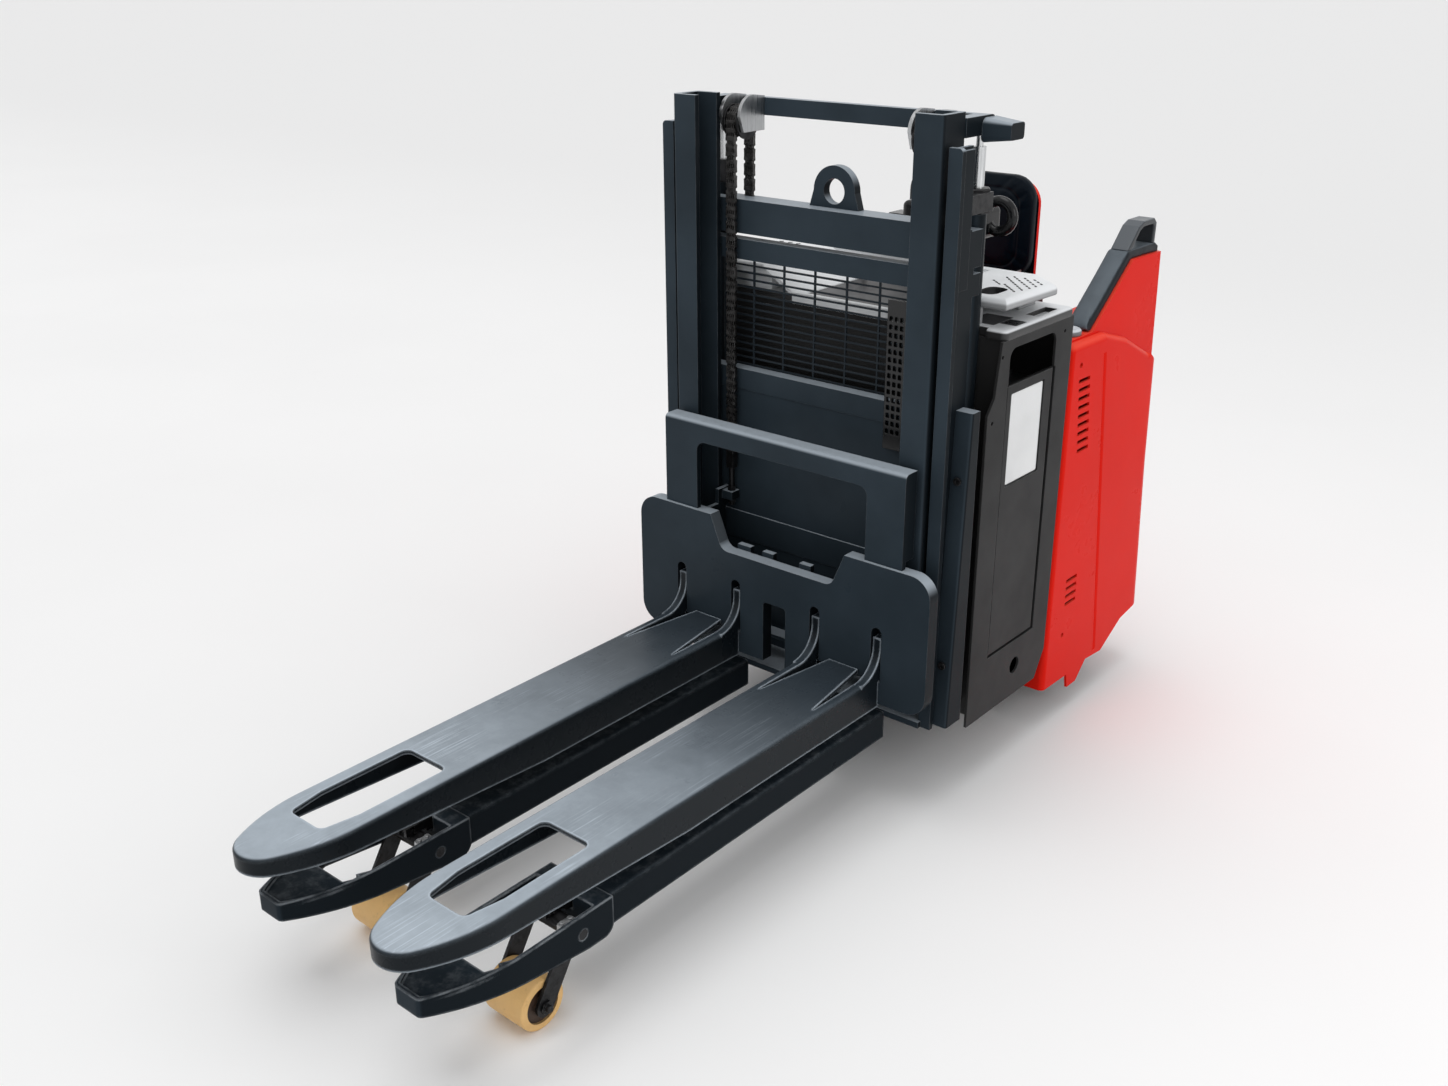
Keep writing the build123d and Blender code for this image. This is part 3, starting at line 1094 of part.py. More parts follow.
BACK_Y = (1000.0, 1011.0)
BACK_X = (-340.0, 34.0)
BACK_TOP = 1212.0
BACK_LIP = 14.0
WELL_X = (-123.5, -119.5)
with BuildPart() as left_shell:
    with BuildSketch(side_plane(-HALF)):
        outline(BODY)
    extrude(amount=HALF - SHELL_IN)
    rear_edges = left_shell.edges().filter_by(
        lambda e: e.center().X < 1 - HALF and e.center().Y > FACE_Y + 980 and e.bounding_box().size.Z > 200
    )
    fillet(rear_edges, radius=45)
    front_edge = left_shell.edges().filter_by(Axis.Z).group_by(Axis.X)[0].sort_by(Axis.Y)[0]
    fillet(front_edge, radius=14)
    slab((-HALF + 20, WELL_X[1]), (570, 830), (BASE_TOP, SHOULDER))
    with BuildSketch(side_plane(-HALF + SHELL)):
        outline(HOLLOW)
    extrude(amount=HALF - SHELL_IN - 2 * SHELL, mode=Mode.SUBTRACT)
    slab((-HALF + SHELL, WELL_X[0]), (569, 824.5), (50, SHOULDER - 14), mode=Mode.SUBTRACT)
    slab((-332, -SHELL_IN + 1), (UNIT_FRONT - 1, 570), (50, 790), mode=Mode.SUBTRACT)
    inner_wall = (-SHELL_IN - SHELL - 1, -SHELL_IN + 1)
    slab(inner_wall, (UNIT_FRONT - 1, 570), (50, SHOULDER - 14), mode=Mode.SUBTRACT)
    slab((-HALF + SHELL + 4, WELL_X[1]), (535, 1012), (50, BASE_TOP), mode=Mode.SUBTRACT)
    with BuildSketch(front_plane(BACK_Y[0])) as carrier:
        outline([
            (12 - HALF, BASE_TOP),
            (BACK_X[1], BASE_TOP),
            (BACK_X[1], BACK_TOP - BACK_LIP),
            (BACK_X[0], BACK_TOP - BACK_LIP),
            (BACK_X[0], SHOULDER - 20),
            (12 - HALF, SHOULDER - 20),
        ])
        fillet(carrier.vertices().group_by(Axis.Y)[-1], radius=58)
    extrude(amount=-(BACK_Y[1] - BACK_Y[0]))
    cut_vents(-1)
keep(left_shell, "left_shell")

# Upholstered back, with a crowned front and drawn-in sides
with BuildPart() as backrest_pad:
    pad_low = SHOULDER + 8
    pad_x = (BACK_X[0] + 8, BACK_X[1] - 1)
    pad_centre = ((pad_x[0] + pad_x[1]) / 2, (pad_low + BACK_TOP) / 2)
    pad_size = (pad_x[1] - pad_x[0], BACK_TOP - pad_low)
    for y, inset, corner in ((1000, 1.5, 60), (988, 0, 62), (972, 3, 60), (963, 13, 54), (958, 40, 40)):
        with BuildSketch(front_plane(y)):
            with Locations(pad_centre):
                RectangleRounded(pad_size[0] - 2 * inset, pad_size[1] - 2 * inset, corner)
    loft()
keep(backrest_pad, "backrest_pad")

# Slanted side pad with its cap, a round bumper at its foot, and the grab handle above
PAD_X = (313.0, 371.0)
PAD_T = 24.0
BUMPER_Y = 600.0
BUMPER_R = 34.0
GRIP_X = (321.0, 364.0)
run = math.dist(SLOPE_LOW, SLOPE_TOP)
ALONG = ((SLOPE_TOP[0] - SLOPE_LOW[0]) / run, (SLOPE_TOP[1] - SLOPE_LOW[1]) / run)
CAP_H = SLOPE_TOP[1] + PAD_T * ALONG[0]
CAP_Y = SLOPE_TOP[0] - PAD_T * ALONG[1]


def on_slope(distance, thick):
    """Point above the slope of the column, at a distance along it."""
    y = SLOPE_LOW[0] + distance * ALONG[0] - thick * ALONG[1]
    return (y, SLOPE_LOW[1] + distance * ALONG[1] + thick * ALONG[0])


def on_top(point):
    """Whether a point lies on the padded upper side of the slope, clear of the column."""
    y = point.Y - FACE_Y
    above = (point.Z - SLOPE_LOW[1]) * ALONG[0] - (y - SLOPE_LOW[0]) * ALONG[1]
    if y > CREST[0] - 12:
        return False
    return above > 16 or y > SLOPE_TOP[0] and point.Z > CAP_H - 4


with BuildPart() as side_pad:
    with BuildSketch(side_plane(PAD_X[0])) as pad_side:
        outline([
            on_slope(12, 0),
            on_slope(4, 12),
            on_slope(12, 20),
            on_slope(150, 22),
            on_slope(run, PAD_T),
            (CREST[0] - 20, CAP_H),
            (CREST[0] - 10, CAP_H - 10),
            (CREST[0] - 10, CREST[1] + 0.4),
            SLOPE_TOP,
        ])
    extrude(amount=PAD_X[1] - PAD_X[0])
    crown = side_pad.edges().filter_by(
        lambda e: e.bounding_box().size.X < 0.01 and on_top(e.center())
    )
    fillet(crown, radius=9)
    with Locations((PAD_X[1] - BUMPER_R, FACE_Y + BUMPER_Y, SHOULDER + 7)):
        Cylinder(BUMPER_R, 14)
    bumper_rims = side_pad.edges().filter_by(
        lambda e: e.center().Y < FACE_Y + BUMPER_Y + BUMPER_R and e.bounding_box().size.Z < 0.01
    )
    fillet(bumper_rims.group_by(Axis.Z)[-1], radius=7)
keep(side_pad, "side_pad")

with BuildPart() as grab_handle:
    with BuildSketch(side_plane(GRIP_X[0])) as grip:
        outline([
            (CAP_Y + 2, CAP_H),
            (CAP_Y + 52, CAP_H + 48),
            (CAP_Y + 76, CAP_H + 57),
            (CREST[0] - 34, CAP_H + 57),
            (CREST[0] - 21, CAP_H + 46),
            (CREST[0] - 22, CAP_H),
        ])
        fillet(grip.vertices().filter_by(lambda v: v.Y > 0 and v.Z > CAP_H + 5), radius=12)
        outline([
            (CAP_Y + 22, CAP_H),
            (CAP_Y + 60, CAP_H + 37),
            (CAP_Y + 78, CAP_H + 44),
            (CREST[0] - 40, CAP_H + 44),
            (CREST[0] - 34, CAP_H + 38),
            (CREST[0] - 36, CAP_H),
        ], mode=Mode.SUBTRACT)
    extrude(amount=GRIP_X[1] - GRIP_X[0])
    rims = grab_handle.edges().filter_by(
        lambda e: e.bounding_box().size.X < 0.01 and e.bounding_box().max.Z > CAP_H + 2
    )
    fillet(rims, radius=3.5)
keep(grab_handle, "grab_handle")

# Steering tower between the columns
with BuildPart() as steering_tower:
    slab(TOWER[0], TOWER[1], (BASE_TOP, TOWER_TOP))
    fillet(steering_tower.edges().filter_by(Axis.Z).group_by(Axis.Y)[-1], radius=25)
    fillet(steering_tower.faces().sort_by(Axis.Z)[-1].edges(), radius=12)
    inside_x = (TOWER[0][0] + 5, TOWER[0][1] - 5)
    slab(inside_x, (TOWER[1][0] + 5, TOWER[1][1] - 16), (BASE_TOP - 1, TOWER_TOP - 16), mode=Mode.SUBTRACT)
    rod_z(0, STEER_Y, (TOWER_TOP - 20, TOWER_TOP + 1), 30 + RUN, mode=Mode.SUBTRACT)
    for y in (608, 664):
        rod_z(175, y, (TOWER_TOP - 20, TOWER_TOP + 1), 9 + RUN, mode=Mode.SUBTRACT)
keep(steering_tower, "steering_tower")

with BuildPart() as pump_unit:
    slab((70, 205), (585, 675), (BASE_TOP, 230))
    rod_z(137, 630, (230, 400), 42)
    slab((110, 164), (608, 652), (400, 420))
keep(pump_unit, "pump_unit")

# Driver's platform, hinged at its front edge
with BuildPart() as platform:
    slab(PLATFORM_X, PLATFORM_Y, PLATFORM_H)
    for x in ((-100, -80), (192, 212)):
        rod_x(x, 722, 178, 12)
        slab(x, (712, 732), (180, 187))
        rod_x(x, 722, 178, 6 + RUN, mode=Mode.SUBTRACT)
keep(platform, "platform")

with BuildPart() as platform_mat:
    slab((PLATFORM_X[0] + 8, PLATFORM_X[1] - 8), (PLATFORM_Y[0] + 8, PLATFORM_Y[1] - 8), (PLATFORM_H[1], 206))
    for step in range(11):
        y = PLATFORM_Y[0] + 22 + step * 23.5
        slab((PLATFORM_X[0] + 16, PLATFORM_X[1] - 16), (y, y + 9), (203.5, 207), mode=Mode.SUBTRACT)
keep(platform_mat, "platform_mat")

# Drive: turret with its motor, and the wheel between the turret arms
with BuildPart() as drive_turret:
    rod_z(DRIVE_X, DRIVE_Y, (236, 248), 78)
    rod_z(DRIVE_X, DRIVE_Y, (247, 300), 35)
    for x in (-54, 42):
        slab((DRIVE_X + x, DRIVE_X + x + 12), (DRIVE_Y - 36, DRIVE_Y + 36), (88, 237))
    rod_x((DRIVE_X - 60, DRIVE_X + 60), DRIVE_Y, DRIVE_R, 14 + RUN, mode=Mode.SUBTRACT)
keep(drive_turret, "drive_turret")

with BuildPart() as drive_motor:
    rod_z(DRIVE_X, DRIVE_Y, (300, 470), 72)
    fillet(drive_motor.edges().group_by(Axis.Z)[-1], radius=8)
    rod_z(DRIVE_X, DRIVE_Y, (470, 495), 40)
keep(drive_motor, "drive_motor")

with BuildPart() as drive_wheel:
    rod_x((DRIVE_X - DRIVE_HALF, DRIVE_X + DRIVE_HALF), DRIVE_Y, DRIVE_R, DRIVE_R)
    fillet(drive_wheel.edges().filter_by(GeomType.CIRCLE), radius=5)
    for x in ((DRIVE_X - DRIVE_HALF - 1, DRIVE_X - 24), (DRIVE_X + 24, DRIVE_X + DRIVE_HALF + 1)):
        rod_x(x, DRIVE_Y, DRIVE_R, 84, mode=Mode.SUBTRACT)
    rod_x((DRIVE_X - 40, DRIVE_X + 40), DRIVE_Y, DRIVE_R, 32)
    rod_x((DRIVE_X - 54, DRIVE_X + 54), DRIVE_Y, DRIVE_R, 14)
keep(drive_wheel, "drive_wheel")

with BuildPart() as castor_fork:
    rod_z(CASTOR_X, CASTOR_Y, (148, 160), 36)
    rod_z(CASTOR_X, CASTOR_Y, (159, 180), 12)
    for x in (-30, 23):
        with BuildSketch(side_plane(CASTOR_X + x)):
            outline([
                (CASTOR_Y - 28, 149),
                (CASTOR_Y + 28, 149),
                (CASTOR_Y + CASTOR_TRAIL + 16, CASTOR_R),
                (CASTOR_Y + CASTOR_TRAIL - 14, CASTOR_R - 12),
            ])
            with Locations((CASTOR_Y + CASTOR_TRAIL, CASTOR_R)):
                Circle(16)
        extrude(amount=7)
    rod_x((CASTOR_X - 40, CASTOR_X + 40), CASTOR_Y + CASTOR_TRAIL, CASTOR_R, 8 + RUN, mode=Mode.SUBTRACT)
keep(castor_fork, "castor_fork")

with BuildPart() as castor_wheel:
    rod_x((CASTOR_X - 20, CASTOR_X + 20), CASTOR_Y + CASTOR_TRAIL, CASTOR_R, CASTOR_R)
    fillet(castor_wheel.edges().filter_by(GeomType.CIRCLE), radius=5)
    rod_x((CASTOR_X - 22.5, CASTOR_X + 22.5), CASTOR_Y + CASTOR_TRAIL, CASTOR_R, 16)
    rod_x((CASTOR_X - 30, CASTOR_X + 30), CASTOR_Y + CASTOR_TRAIL, CASTOR_R, 8)
keep(castor_wheel, "castor_wheel")

# Steering head with a hand loop and a lever pod, and the controls on it
HEAD_H = (1118.0, 1190.0)
ROCKER_X = (-84.0, -46.0)
THUMB_X = (34.0, 74.0)
THUMB_H = 1158.0
with BuildPart() as steering_head:
    slab((-108, 108), (STEER_Y - 45, STEER_Y + 45), HEAD_H)
    fillet(steering_head.edges(), radius=14)
    rod_z(0, STEER_Y, (TOWER_TOP - 18, HEAD_H[0] + 10), 30)
    rod_z(0, STEER_Y, (TOWER_TOP, TOWER_TOP + 18), 52)
    with Locations(Location((126, FACE_Y + STEER_Y, 1172), (90, 0, 0))):
        Torus(34, 12)
    slab((-154, -100), (STEER_Y - 26, STEER_Y + 26), (1124, 1154))
    rocker_slot = (ROCKER_X[0] - 0.5, ROCKER_X[1] + 0.5)
    slab(rocker_slot, (STEER_Y - 24, STEER_Y + 24), (1174, 1192), mode=Mode.SUBTRACT)
    rod_z(0, STEER_Y, (1176, 1192), 14 + RUN, mode=Mode.SUBTRACT)
    thumb_gap = (STEER_Y + 26, STEER_Y + 46)
    slab((THUMB_X[0] - 0.5, THUMB_X[1] + 0.5), thumb_gap, (THUMB_H - 20, THUMB_H + 20), mode=Mode.SUBTRACT)
keep(steering_head, "steering_head")

with BuildPart() as lift_rocker:
    rod_x(ROCKER_X, STEER_Y, 1184, 7)
    with BuildSketch(side_plane(ROCKER_X[0])):
        outline([
            (STEER_Y - 20, 1186),
            (STEER_Y + 20, 1186),
            (STEER_Y + 20, 1195),
            (STEER_Y, 1191),
            (STEER_Y - 20, 1195),
        ])
    extrude(amount=ROCKER_X[1] - ROCKER_X[0])
keep(lift_rocker, "lift_rocker")

with BuildPart() as horn_button:
    rod_z(0, STEER_Y, (1182, 1197), 14)
    fillet(horn_button.edges().group_by(Axis.Z)[-1], radius=3)
keep(horn_button, "horn_button")

with BuildPart() as drive_butterfly:
    rod_x(THUMB_X, STEER_Y + 36, THUMB_H, 8)
    slab(THUMB_X, (STEER_Y + 36, STEER_Y + 58), (THUMB_H - 4, THUMB_H + 4))
keep(drive_butterfly, "drive_butterfly")

with BuildPart() as emergency_stop:
    rod_z(175, 608, (TOWER_TOP - 18, TOWER_TOP + 12), 9)
    rod_z(175, 608, (TOWER_TOP + 7, TOWER_TOP + 17), 20)
    fillet(emergency_stop.edges().group_by(Axis.Z)[-1], radius=5)
keep(emergency_stop, "emergency_stop")

with BuildPart() as key_switch:
    rod_z(175, 664, (TOWER_TOP - 18, TOWER_TOP + 5), 9)
    slab((173.5, 176.5), (656, 672), (TOWER_TOP + 5, TOWER_TOP + 13))
keep(key_switch, "key_switch")
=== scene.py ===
import math

import bmesh
import bpy
from mathutils import Matrix, Vector


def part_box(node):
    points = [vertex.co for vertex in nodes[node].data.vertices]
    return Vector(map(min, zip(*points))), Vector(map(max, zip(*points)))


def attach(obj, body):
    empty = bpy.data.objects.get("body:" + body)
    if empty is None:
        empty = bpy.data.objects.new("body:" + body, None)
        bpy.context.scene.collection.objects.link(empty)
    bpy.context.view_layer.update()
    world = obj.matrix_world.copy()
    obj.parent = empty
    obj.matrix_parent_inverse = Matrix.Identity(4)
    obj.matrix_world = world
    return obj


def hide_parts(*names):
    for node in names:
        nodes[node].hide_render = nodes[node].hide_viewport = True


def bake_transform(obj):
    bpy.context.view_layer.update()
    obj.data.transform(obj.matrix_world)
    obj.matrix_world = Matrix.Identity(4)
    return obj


# Stand-on pallet stacker: camera, studio, materials and the detailed pieces around the packed
# model. Metres. Lengths called y run back from the front face of the carriage plate, as in the
# model's source.

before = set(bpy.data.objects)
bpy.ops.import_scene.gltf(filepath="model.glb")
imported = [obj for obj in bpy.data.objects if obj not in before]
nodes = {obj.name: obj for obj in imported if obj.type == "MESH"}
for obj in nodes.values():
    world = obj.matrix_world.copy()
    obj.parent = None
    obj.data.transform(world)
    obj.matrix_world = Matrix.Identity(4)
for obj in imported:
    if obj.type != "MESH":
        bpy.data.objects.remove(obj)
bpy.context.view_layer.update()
scene = bpy.context.scene

FACE = 0.0925
UP = (0, 0, 1)


def at(x, y, h):
    """Point given across, back from the carriage face and above the floor."""
    return Vector((x, FACE + y, h))


def link(obj):
    """Put a new object into the scene."""
    scene.collection.objects.link(obj)
    return obj


# Camera at the photograph's place
CAMERA_AT = (1.7614, -2.1599, 1.7449)
CAMERA_LENS, CAMERA_SENSOR, CAMERA_REACH = 35.76, 36.0, 500.0
AZIMUTH, ELEVATION, ROLL = (math.radians(a) for a in (40.219, 22.703, 0.208))


def make_camera():
    data = bpy.data.cameras.new("camera")
    data.sensor_width = CAMERA_SENSOR
    data.lens = CAMERA_LENS
    data.clip_end = CAMERA_REACH
    camera = link(bpy.data.objects.new("camera", data))
    back = Vector((
        math.sin(AZIMUTH) * math.cos(ELEVATION),
        -math.cos(AZIMUTH) * math.cos(ELEVATION),
        math.sin(ELEVATION),
    ))
    right = Vector(UP).cross(back).normalized()
    up = back.cross(right)
    tilted = right * math.cos(ROLL) - up * math.sin(ROLL)
    axes = Matrix((tilted, back.cross(tilted), back)).transposed()
    camera.matrix_world = Matrix.Translation(CAMERA_AT) @ axes.to_4x4()
    scene.camera = camera


make_camera()


# Materials
def tint(colour, share, added=0.0):
    """Colour made darker or lighter by a share."""
    return tuple(min(1.0, c * share + added) for c in colour)


class Shader:
    """A node material with short calls for the nodes that the finishes share."""

    def __init__(self, name):
        self.material = bpy.data.materials.new(name)
        self.material.use_nodes = True
        self.tree = self.material.node_tree
        self.surface = self.tree.nodes["Principled BSDF"]
        self.coords = self.node("ShaderNodeTexCoord").outputs["Object"]

    def node(self, kind, **values):
        made = self.tree.nodes.new(kind)
        for key, value in values.items():
            setattr(made, key, value)
        return made

    def join(self, source, target):
        self.tree.links.new(source, target)

    def put(self, socket, value):
        """Set a constant or join a node's output."""
        if isinstance(value, bpy.types.NodeSocket):
            self.join(value, socket)
        else:
            socket.default_value = value

    def stretch(self, scale, turn=(0, 0, 0)):
        """Object coordinates turned and stretched."""
        mapping = self.node("ShaderNodeMapping")
        self.join(self.coords, mapping.inputs["Vector"])
        mapping.inputs["Rotation"].default_value = turn
        mapping.inputs["Scale"].default_value = scale
        return mapping.outputs["Vector"]

    def noise(self, scale, detail=3.0, rough=0.55, coords=None):
        made = self.node("ShaderNodeTexNoise")
        self.join(coords or self.coords, made.inputs["Vector"])
        made.inputs["Scale"].default_value = scale
        made.inputs["Detail"].default_value = detail
        made.inputs["Roughness"].default_value = rough
        return made.outputs["Fac"]

    def cells(self, scale):
        made = self.node("ShaderNodeTexVoronoi", feature="F1")
        self.join(self.coords, made.inputs["Vector"])
        made.inputs["Scale"].default_value = scale
        return made.outputs["Distance"]

    def ramp(self, value, low, high, start=0.0, end=1.0):
        """Value carried from low..high to start..end, clamped."""
        made = self.node("ShaderNodeMapRange", interpolation_type="SMOOTHSTEP")
        self.join(value, made.inputs["Value"])
        made.inputs["From Min"].default_value = low
        made.inputs["From Max"].default_value = high
        made.inputs["To Min"].default_value = start
        made.inputs["To Max"].default_value = end
        return made.outputs["Result"]

    def math(self, operation, a, b=0.0):
        made = self.node("ShaderNodeMath", operation=operation)
        self.put(made.inputs[0], a)
        self.put(made.inputs[1], b)
        return made.outputs["Value"]

    def product(self, first, *others):
        """Masks and shares multiplied together."""
        for other in others:
            first = self.math("MULTIPLY", first, other)
        return first

    def mix(self, factor, a, b):
        made = self.node("ShaderNodeMix", data_type="RGBA")
        self.put(made.inputs["Factor"], factor)
        for socket, colour in ((made.inputs[6], a), (made.inputs[7], b)):
            joined = isinstance(colour, bpy.types.NodeSocket)
            self.put(socket, colour if joined else (*colour, 1.0))
        return made.outputs[2]

    def clouds(self, colour, low, high, scale, detail=4.0, rough=0.55):
        """Colour drifting between a darker and a lighter share of itself."""
        drift = self.ramp(self.noise(scale, detail, rough), 0.3, 0.7)
        return self.mix(drift, tint(colour, low), tint(colour, high))

    def axis(self, vector, name):
        made = self.node("ShaderNodeSeparateXYZ")
        self.join(vector, made.inputs[0])
        return made.outputs[name]

    def position(self, name):
        return self.axis(self.coords, name)

    def off_centre(self):
        """Distance to either side of the truck's middle."""
        return self.math("ABSOLUTE", self.position("X"))

    def facing(self, name):
        """How far the surface faces along one of the object's axes."""
        turned = self.node(
            "ShaderNodeVectorTransform",
            vector_type="NORMAL", convert_from="WORLD", convert_to="OBJECT",
        )
        self.join(self.node("ShaderNodeNewGeometry").outputs["Normal"], turned.inputs[0])
        return self.axis(turned.outputs[0], name)

    def within(self, name, low, high, soft):
        """Mask of what lies between two places along one of the object's axes."""
        place = self.position(name)
        above = self.ramp(place, low - soft, low + soft)
        return self.product(above, self.ramp(place, high + soft, high - soft))

    def rounded(self, radius):
        """Normal that rolls over the edges."""
        made = self.node("ShaderNodeBevel", samples=4)
        made.inputs["Radius"].default_value = radius
        return made.outputs["Normal"]

    def edges(self, rolled, low, high):
        """Mask of the outer edges, from how far the rolled normal leaves the face's own."""
        made = self.node("ShaderNodeVectorMath", operation="DOT_PRODUCT")
        self.join(rolled, made.inputs[0])
        self.join(self.node("ShaderNodeNewGeometry").outputs["True Normal"], made.inputs[1])
        return self.ramp(made.outputs["Value"], 1 - high, 1 - low, 1.0, 0.0)

    def bump(self, height, strength, distance, normal=None):
        made = self.node("ShaderNodeBump")
        self.join(height, made.inputs["Height"])
        made.inputs["Strength"].default_value = strength
        made.inputs["Distance"].default_value = distance
        if normal is not None:
            self.join(normal, made.inputs["Normal"])
        return made.outputs["Normal"]

    def finish(self, colour, rough=None, normal=None, **constants):
        for socket, value in (("Base Color", colour), ("Roughness", rough), ("Normal", normal)):
            if value is not None:
                self.put(self.surface.inputs[socket], value)
        for socket, value in constants.items():
            self.surface.inputs[socket.replace("_", " ")].default_value = value
        return self.material


# How far the rolled normal turns across a scuffed edge, which the paints also give a painted
# highlight
FINE_BAND = (0.03, 0.35)
WIDE_BAND = (0.008, 0.14)
# Depths of the finest relief
PEEL_DEPTH, GRAIN_DEPTH, PIT_DEPTH, BRUSH_DEPTH = 0.0006, 0.0003, 0.0005, 0.0004
# Half the width over which one colour gives way to another
GAP_SOFT, HUB_SOFT, VALLEY_SOFT, CUP_SOFT, WELL_SOFT = 0.0003, 0.0006, 0.001, 0.0015, 0.0025


def paint(
    name, colour, worn_and_glint, gloss=0.33, edge=0.0022, band=FINE_BAND, wear_and_glint=0.75,
    top=None, flank=1.0, inside=None, coat=1.3,
):
    """Sprayed steel: orange peel, faint clouds and dust, and edges scuffed lighter with a painted
    highlight on them, upper ones most.

    band is how far the rolled normal turns across a scuffed edge,
    top is the lighter colour painted on what faces up as a painted highlight, flank the share of
    colour left on the sides as painted shade, inside the distance from the middle within which a
    gap gets painted shade, and coat the refraction of the clear top layer.
    """
    s = Shader(name)
    body = s.clouds(colour, 0.82, 1.2, 3.0)
    # Painted shade: faces turned sideways keep only the flank share of the colour.
    if flank < 1.0:
        sideways = s.ramp(s.math("ABSOLUTE", s.facing("X")), 0.55, 0.9)
        body = s.mix(sideways, body, tint(colour, flank))
    # Painted highlight: what faces up turns towards the lighter top colour.
    if top is not None:
        body = s.mix(s.ramp(s.facing("Z"), 0.2, 0.8, 0.0, 0.92), body, top)
    dust = s.ramp(s.noise(38.0, 6.0, 0.7), 0.42, 0.75, 0.0, 0.3)
    lying = s.ramp(s.facing("Z"), 0.75, 0.98)
    body = s.mix(s.product(dust, lying), body, tint(worn_and_glint, 0.45))
    # Painted shade: paint nearer the middle than inside, in the gap behind the door face, is
    # darkened.
    if inside is not None:
        gap = s.ramp(s.off_centre(), inside + GAP_SOFT, inside - GAP_SOFT)
        body = s.mix(gap, body, tint(colour, 0.25))
    rolled = s.rounded(edge)
    # Lighter edges: partly scuffing, partly a painted highlight that is strongest on upper edges.
    rubbed_and_sheen = s.ramp(s.noise(24.0, 5.0, 0.7), 0.34, 0.6, 0.25, 1.0)
    upper = s.ramp(s.axis(rolled, "Z"), 0.0, 0.5, wear_and_glint * 0.4, wear_and_glint)
    body = s.mix(s.product(s.edges(rolled, *band), rubbed_and_sheen, upper), body, worn_and_glint)
    rough = s.ramp(s.noise(9.0, 5.0, 0.6), 0.25, 0.75, gloss - 0.06, gloss + 0.08)
    peel = s.bump(s.noise(420.0, 2.0), 0.05, PEEL_DEPTH, rolled)
    return s.finish(body, rough, peel, Specular_IOR_Level=0.2, IOR=coat)


# Where the scuffing and painted reflection along the forks begin and where they are full
RUB_AND_SHEEN_FROM, RUB_AND_SHEEN_FULL = FACE - 0.06, FACE - 1.00
# Turn, fineness and threshold of each set of scratches
SCRATCHES = (
    (0.02, 520.0, 0.62), (-0.16, 380.0, 0.66), (0.24, 340.0, 0.66), (1.2, 260.0, 0.69),
)
SCRATCH_STRETCH = (1.0, 0.012, 1.0)


def fork_paint(name, colour, bare_and_sheen):
    """Fork paint: scuffs and a painted reflection on top, most towards the tips, painted highlights
    on the upper rims, painted shade on the sides, and fine scratches along it.
    """
    s = Shader(name)
    body = s.clouds(colour, 0.84, 1.18, 3.0)
    # Painted shade: the fork sides are darker than the tops.
    sideways = s.ramp(s.math("ABSOLUTE", s.facing("Z")), 0.75, 0.3)
    body = s.mix(sideways, body, tint(colour, 0.42))
    # Scuffing and a painted reflection: the top turns lighter towards the tips.
    lying = s.ramp(s.facing("Z"), 0.6, 0.97)
    towards_tip = s.ramp(s.position("Y"), RUB_AND_SHEEN_FROM, RUB_AND_SHEEN_FULL, 0.03, 1.0)
    patches = s.ramp(s.noise(5.0, 8.0, 0.68), 0.25, 0.75, 0.66, 1.0)
    rubbed_and_sheen = s.product(lying, towards_tip, patches)
    body = s.mix(rubbed_and_sheen, body, bare_and_sheen)
    scratches = None
    for turn, scale, low in SCRATCHES:
        lines = s.noise(scale, 2.0, 0.4, s.stretch(SCRATCH_STRETCH, (0, 0, turn)))
        lines = s.ramp(lines, low, low + 0.06)
        scratches = lines if scratches is None else s.math("MAXIMUM", scratches, lines)
    broken = s.ramp(s.noise(7.0, 3.0), 0.42, 0.66)
    scratches = s.product(scratches, broken, rubbed_and_sheen)
    body = s.mix(s.product(scratches, 0.5), body, tint(bare_and_sheen, 1.75))
    # Painted highlight along the upper rims.
    patchy = s.ramp(s.noise(13.0, 5.0, 0.7), 0.3, 0.6, 0.5, 1.0)
    upper = s.ramp(s.facing("Z"), -0.2, 0.1)
    rim = s.product(s.edges(s.rounded(0.008), *WIDE_BAND), patchy, upper, 0.8)
    body = s.mix(rim, body, tint(bare_and_sheen, 1.5))
    rough = s.ramp(s.noise(15.0, 5.0, 0.65), 0.25, 0.75, 0.24, 0.36)
    rough = s.math("ADD", rough, s.product(rubbed_and_sheen, 0.04))
    grain = s.math("ADD", s.noise(420.0, 2.0), s.product(scratches, -0.8))
    relief = s.bump(grain, 0.06, PEEL_DEPTH, s.rounded(0.003))
    return s.finish(body, rough, relief, Specular_IOR_Level=0.42, IOR=1.24)


def grained(s, body, fleck, flecks, gloss, depth, edge, shine, scale=240.0):
    """Finish of a moulded skin: a fine grain and flecks of another colour."""
    body = s.mix(s.ramp(s.noise(scale, 3.0, 0.7), 0.6, 0.7, 0.0, flecks), body, fleck)
    rough = s.ramp(s.noise(12.0, 4.0), 0.25, 0.75, gloss - 0.05, gloss + 0.07)
    grain = s.bump(s.cells(900.0), depth, GRAIN_DEPTH, s.rounded(edge))
    return s.finish(body, rough, grain, Specular_IOR_Level=shine)


def moulding(name, colour, gloss, depth=0.12, edge=0.002, tops=None, shine=0.4, flecks=0.12):
    """Moulded plastic; tops is the lighter colour painted on what faces up as a painted highlight,
    where it differs.
    """
    s = Shader(name)
    body = s.clouds(colour, 0.94, 1.06, 5.0)
    # Painted highlight: what faces up turns towards the tops colour.
    if tops is not None:
        body = s.mix(s.ramp(s.facing("Z"), 0.35, 0.75), body, tops)
    return grained(s, body, tint(colour, 1.4, 0.01), flecks, gloss, depth, edge, shine)


# Lighter red painted on the upward shoulders as a painted highlight
SHOULDER_SHEEN_RED = (0.86, 0.075, 0.045)
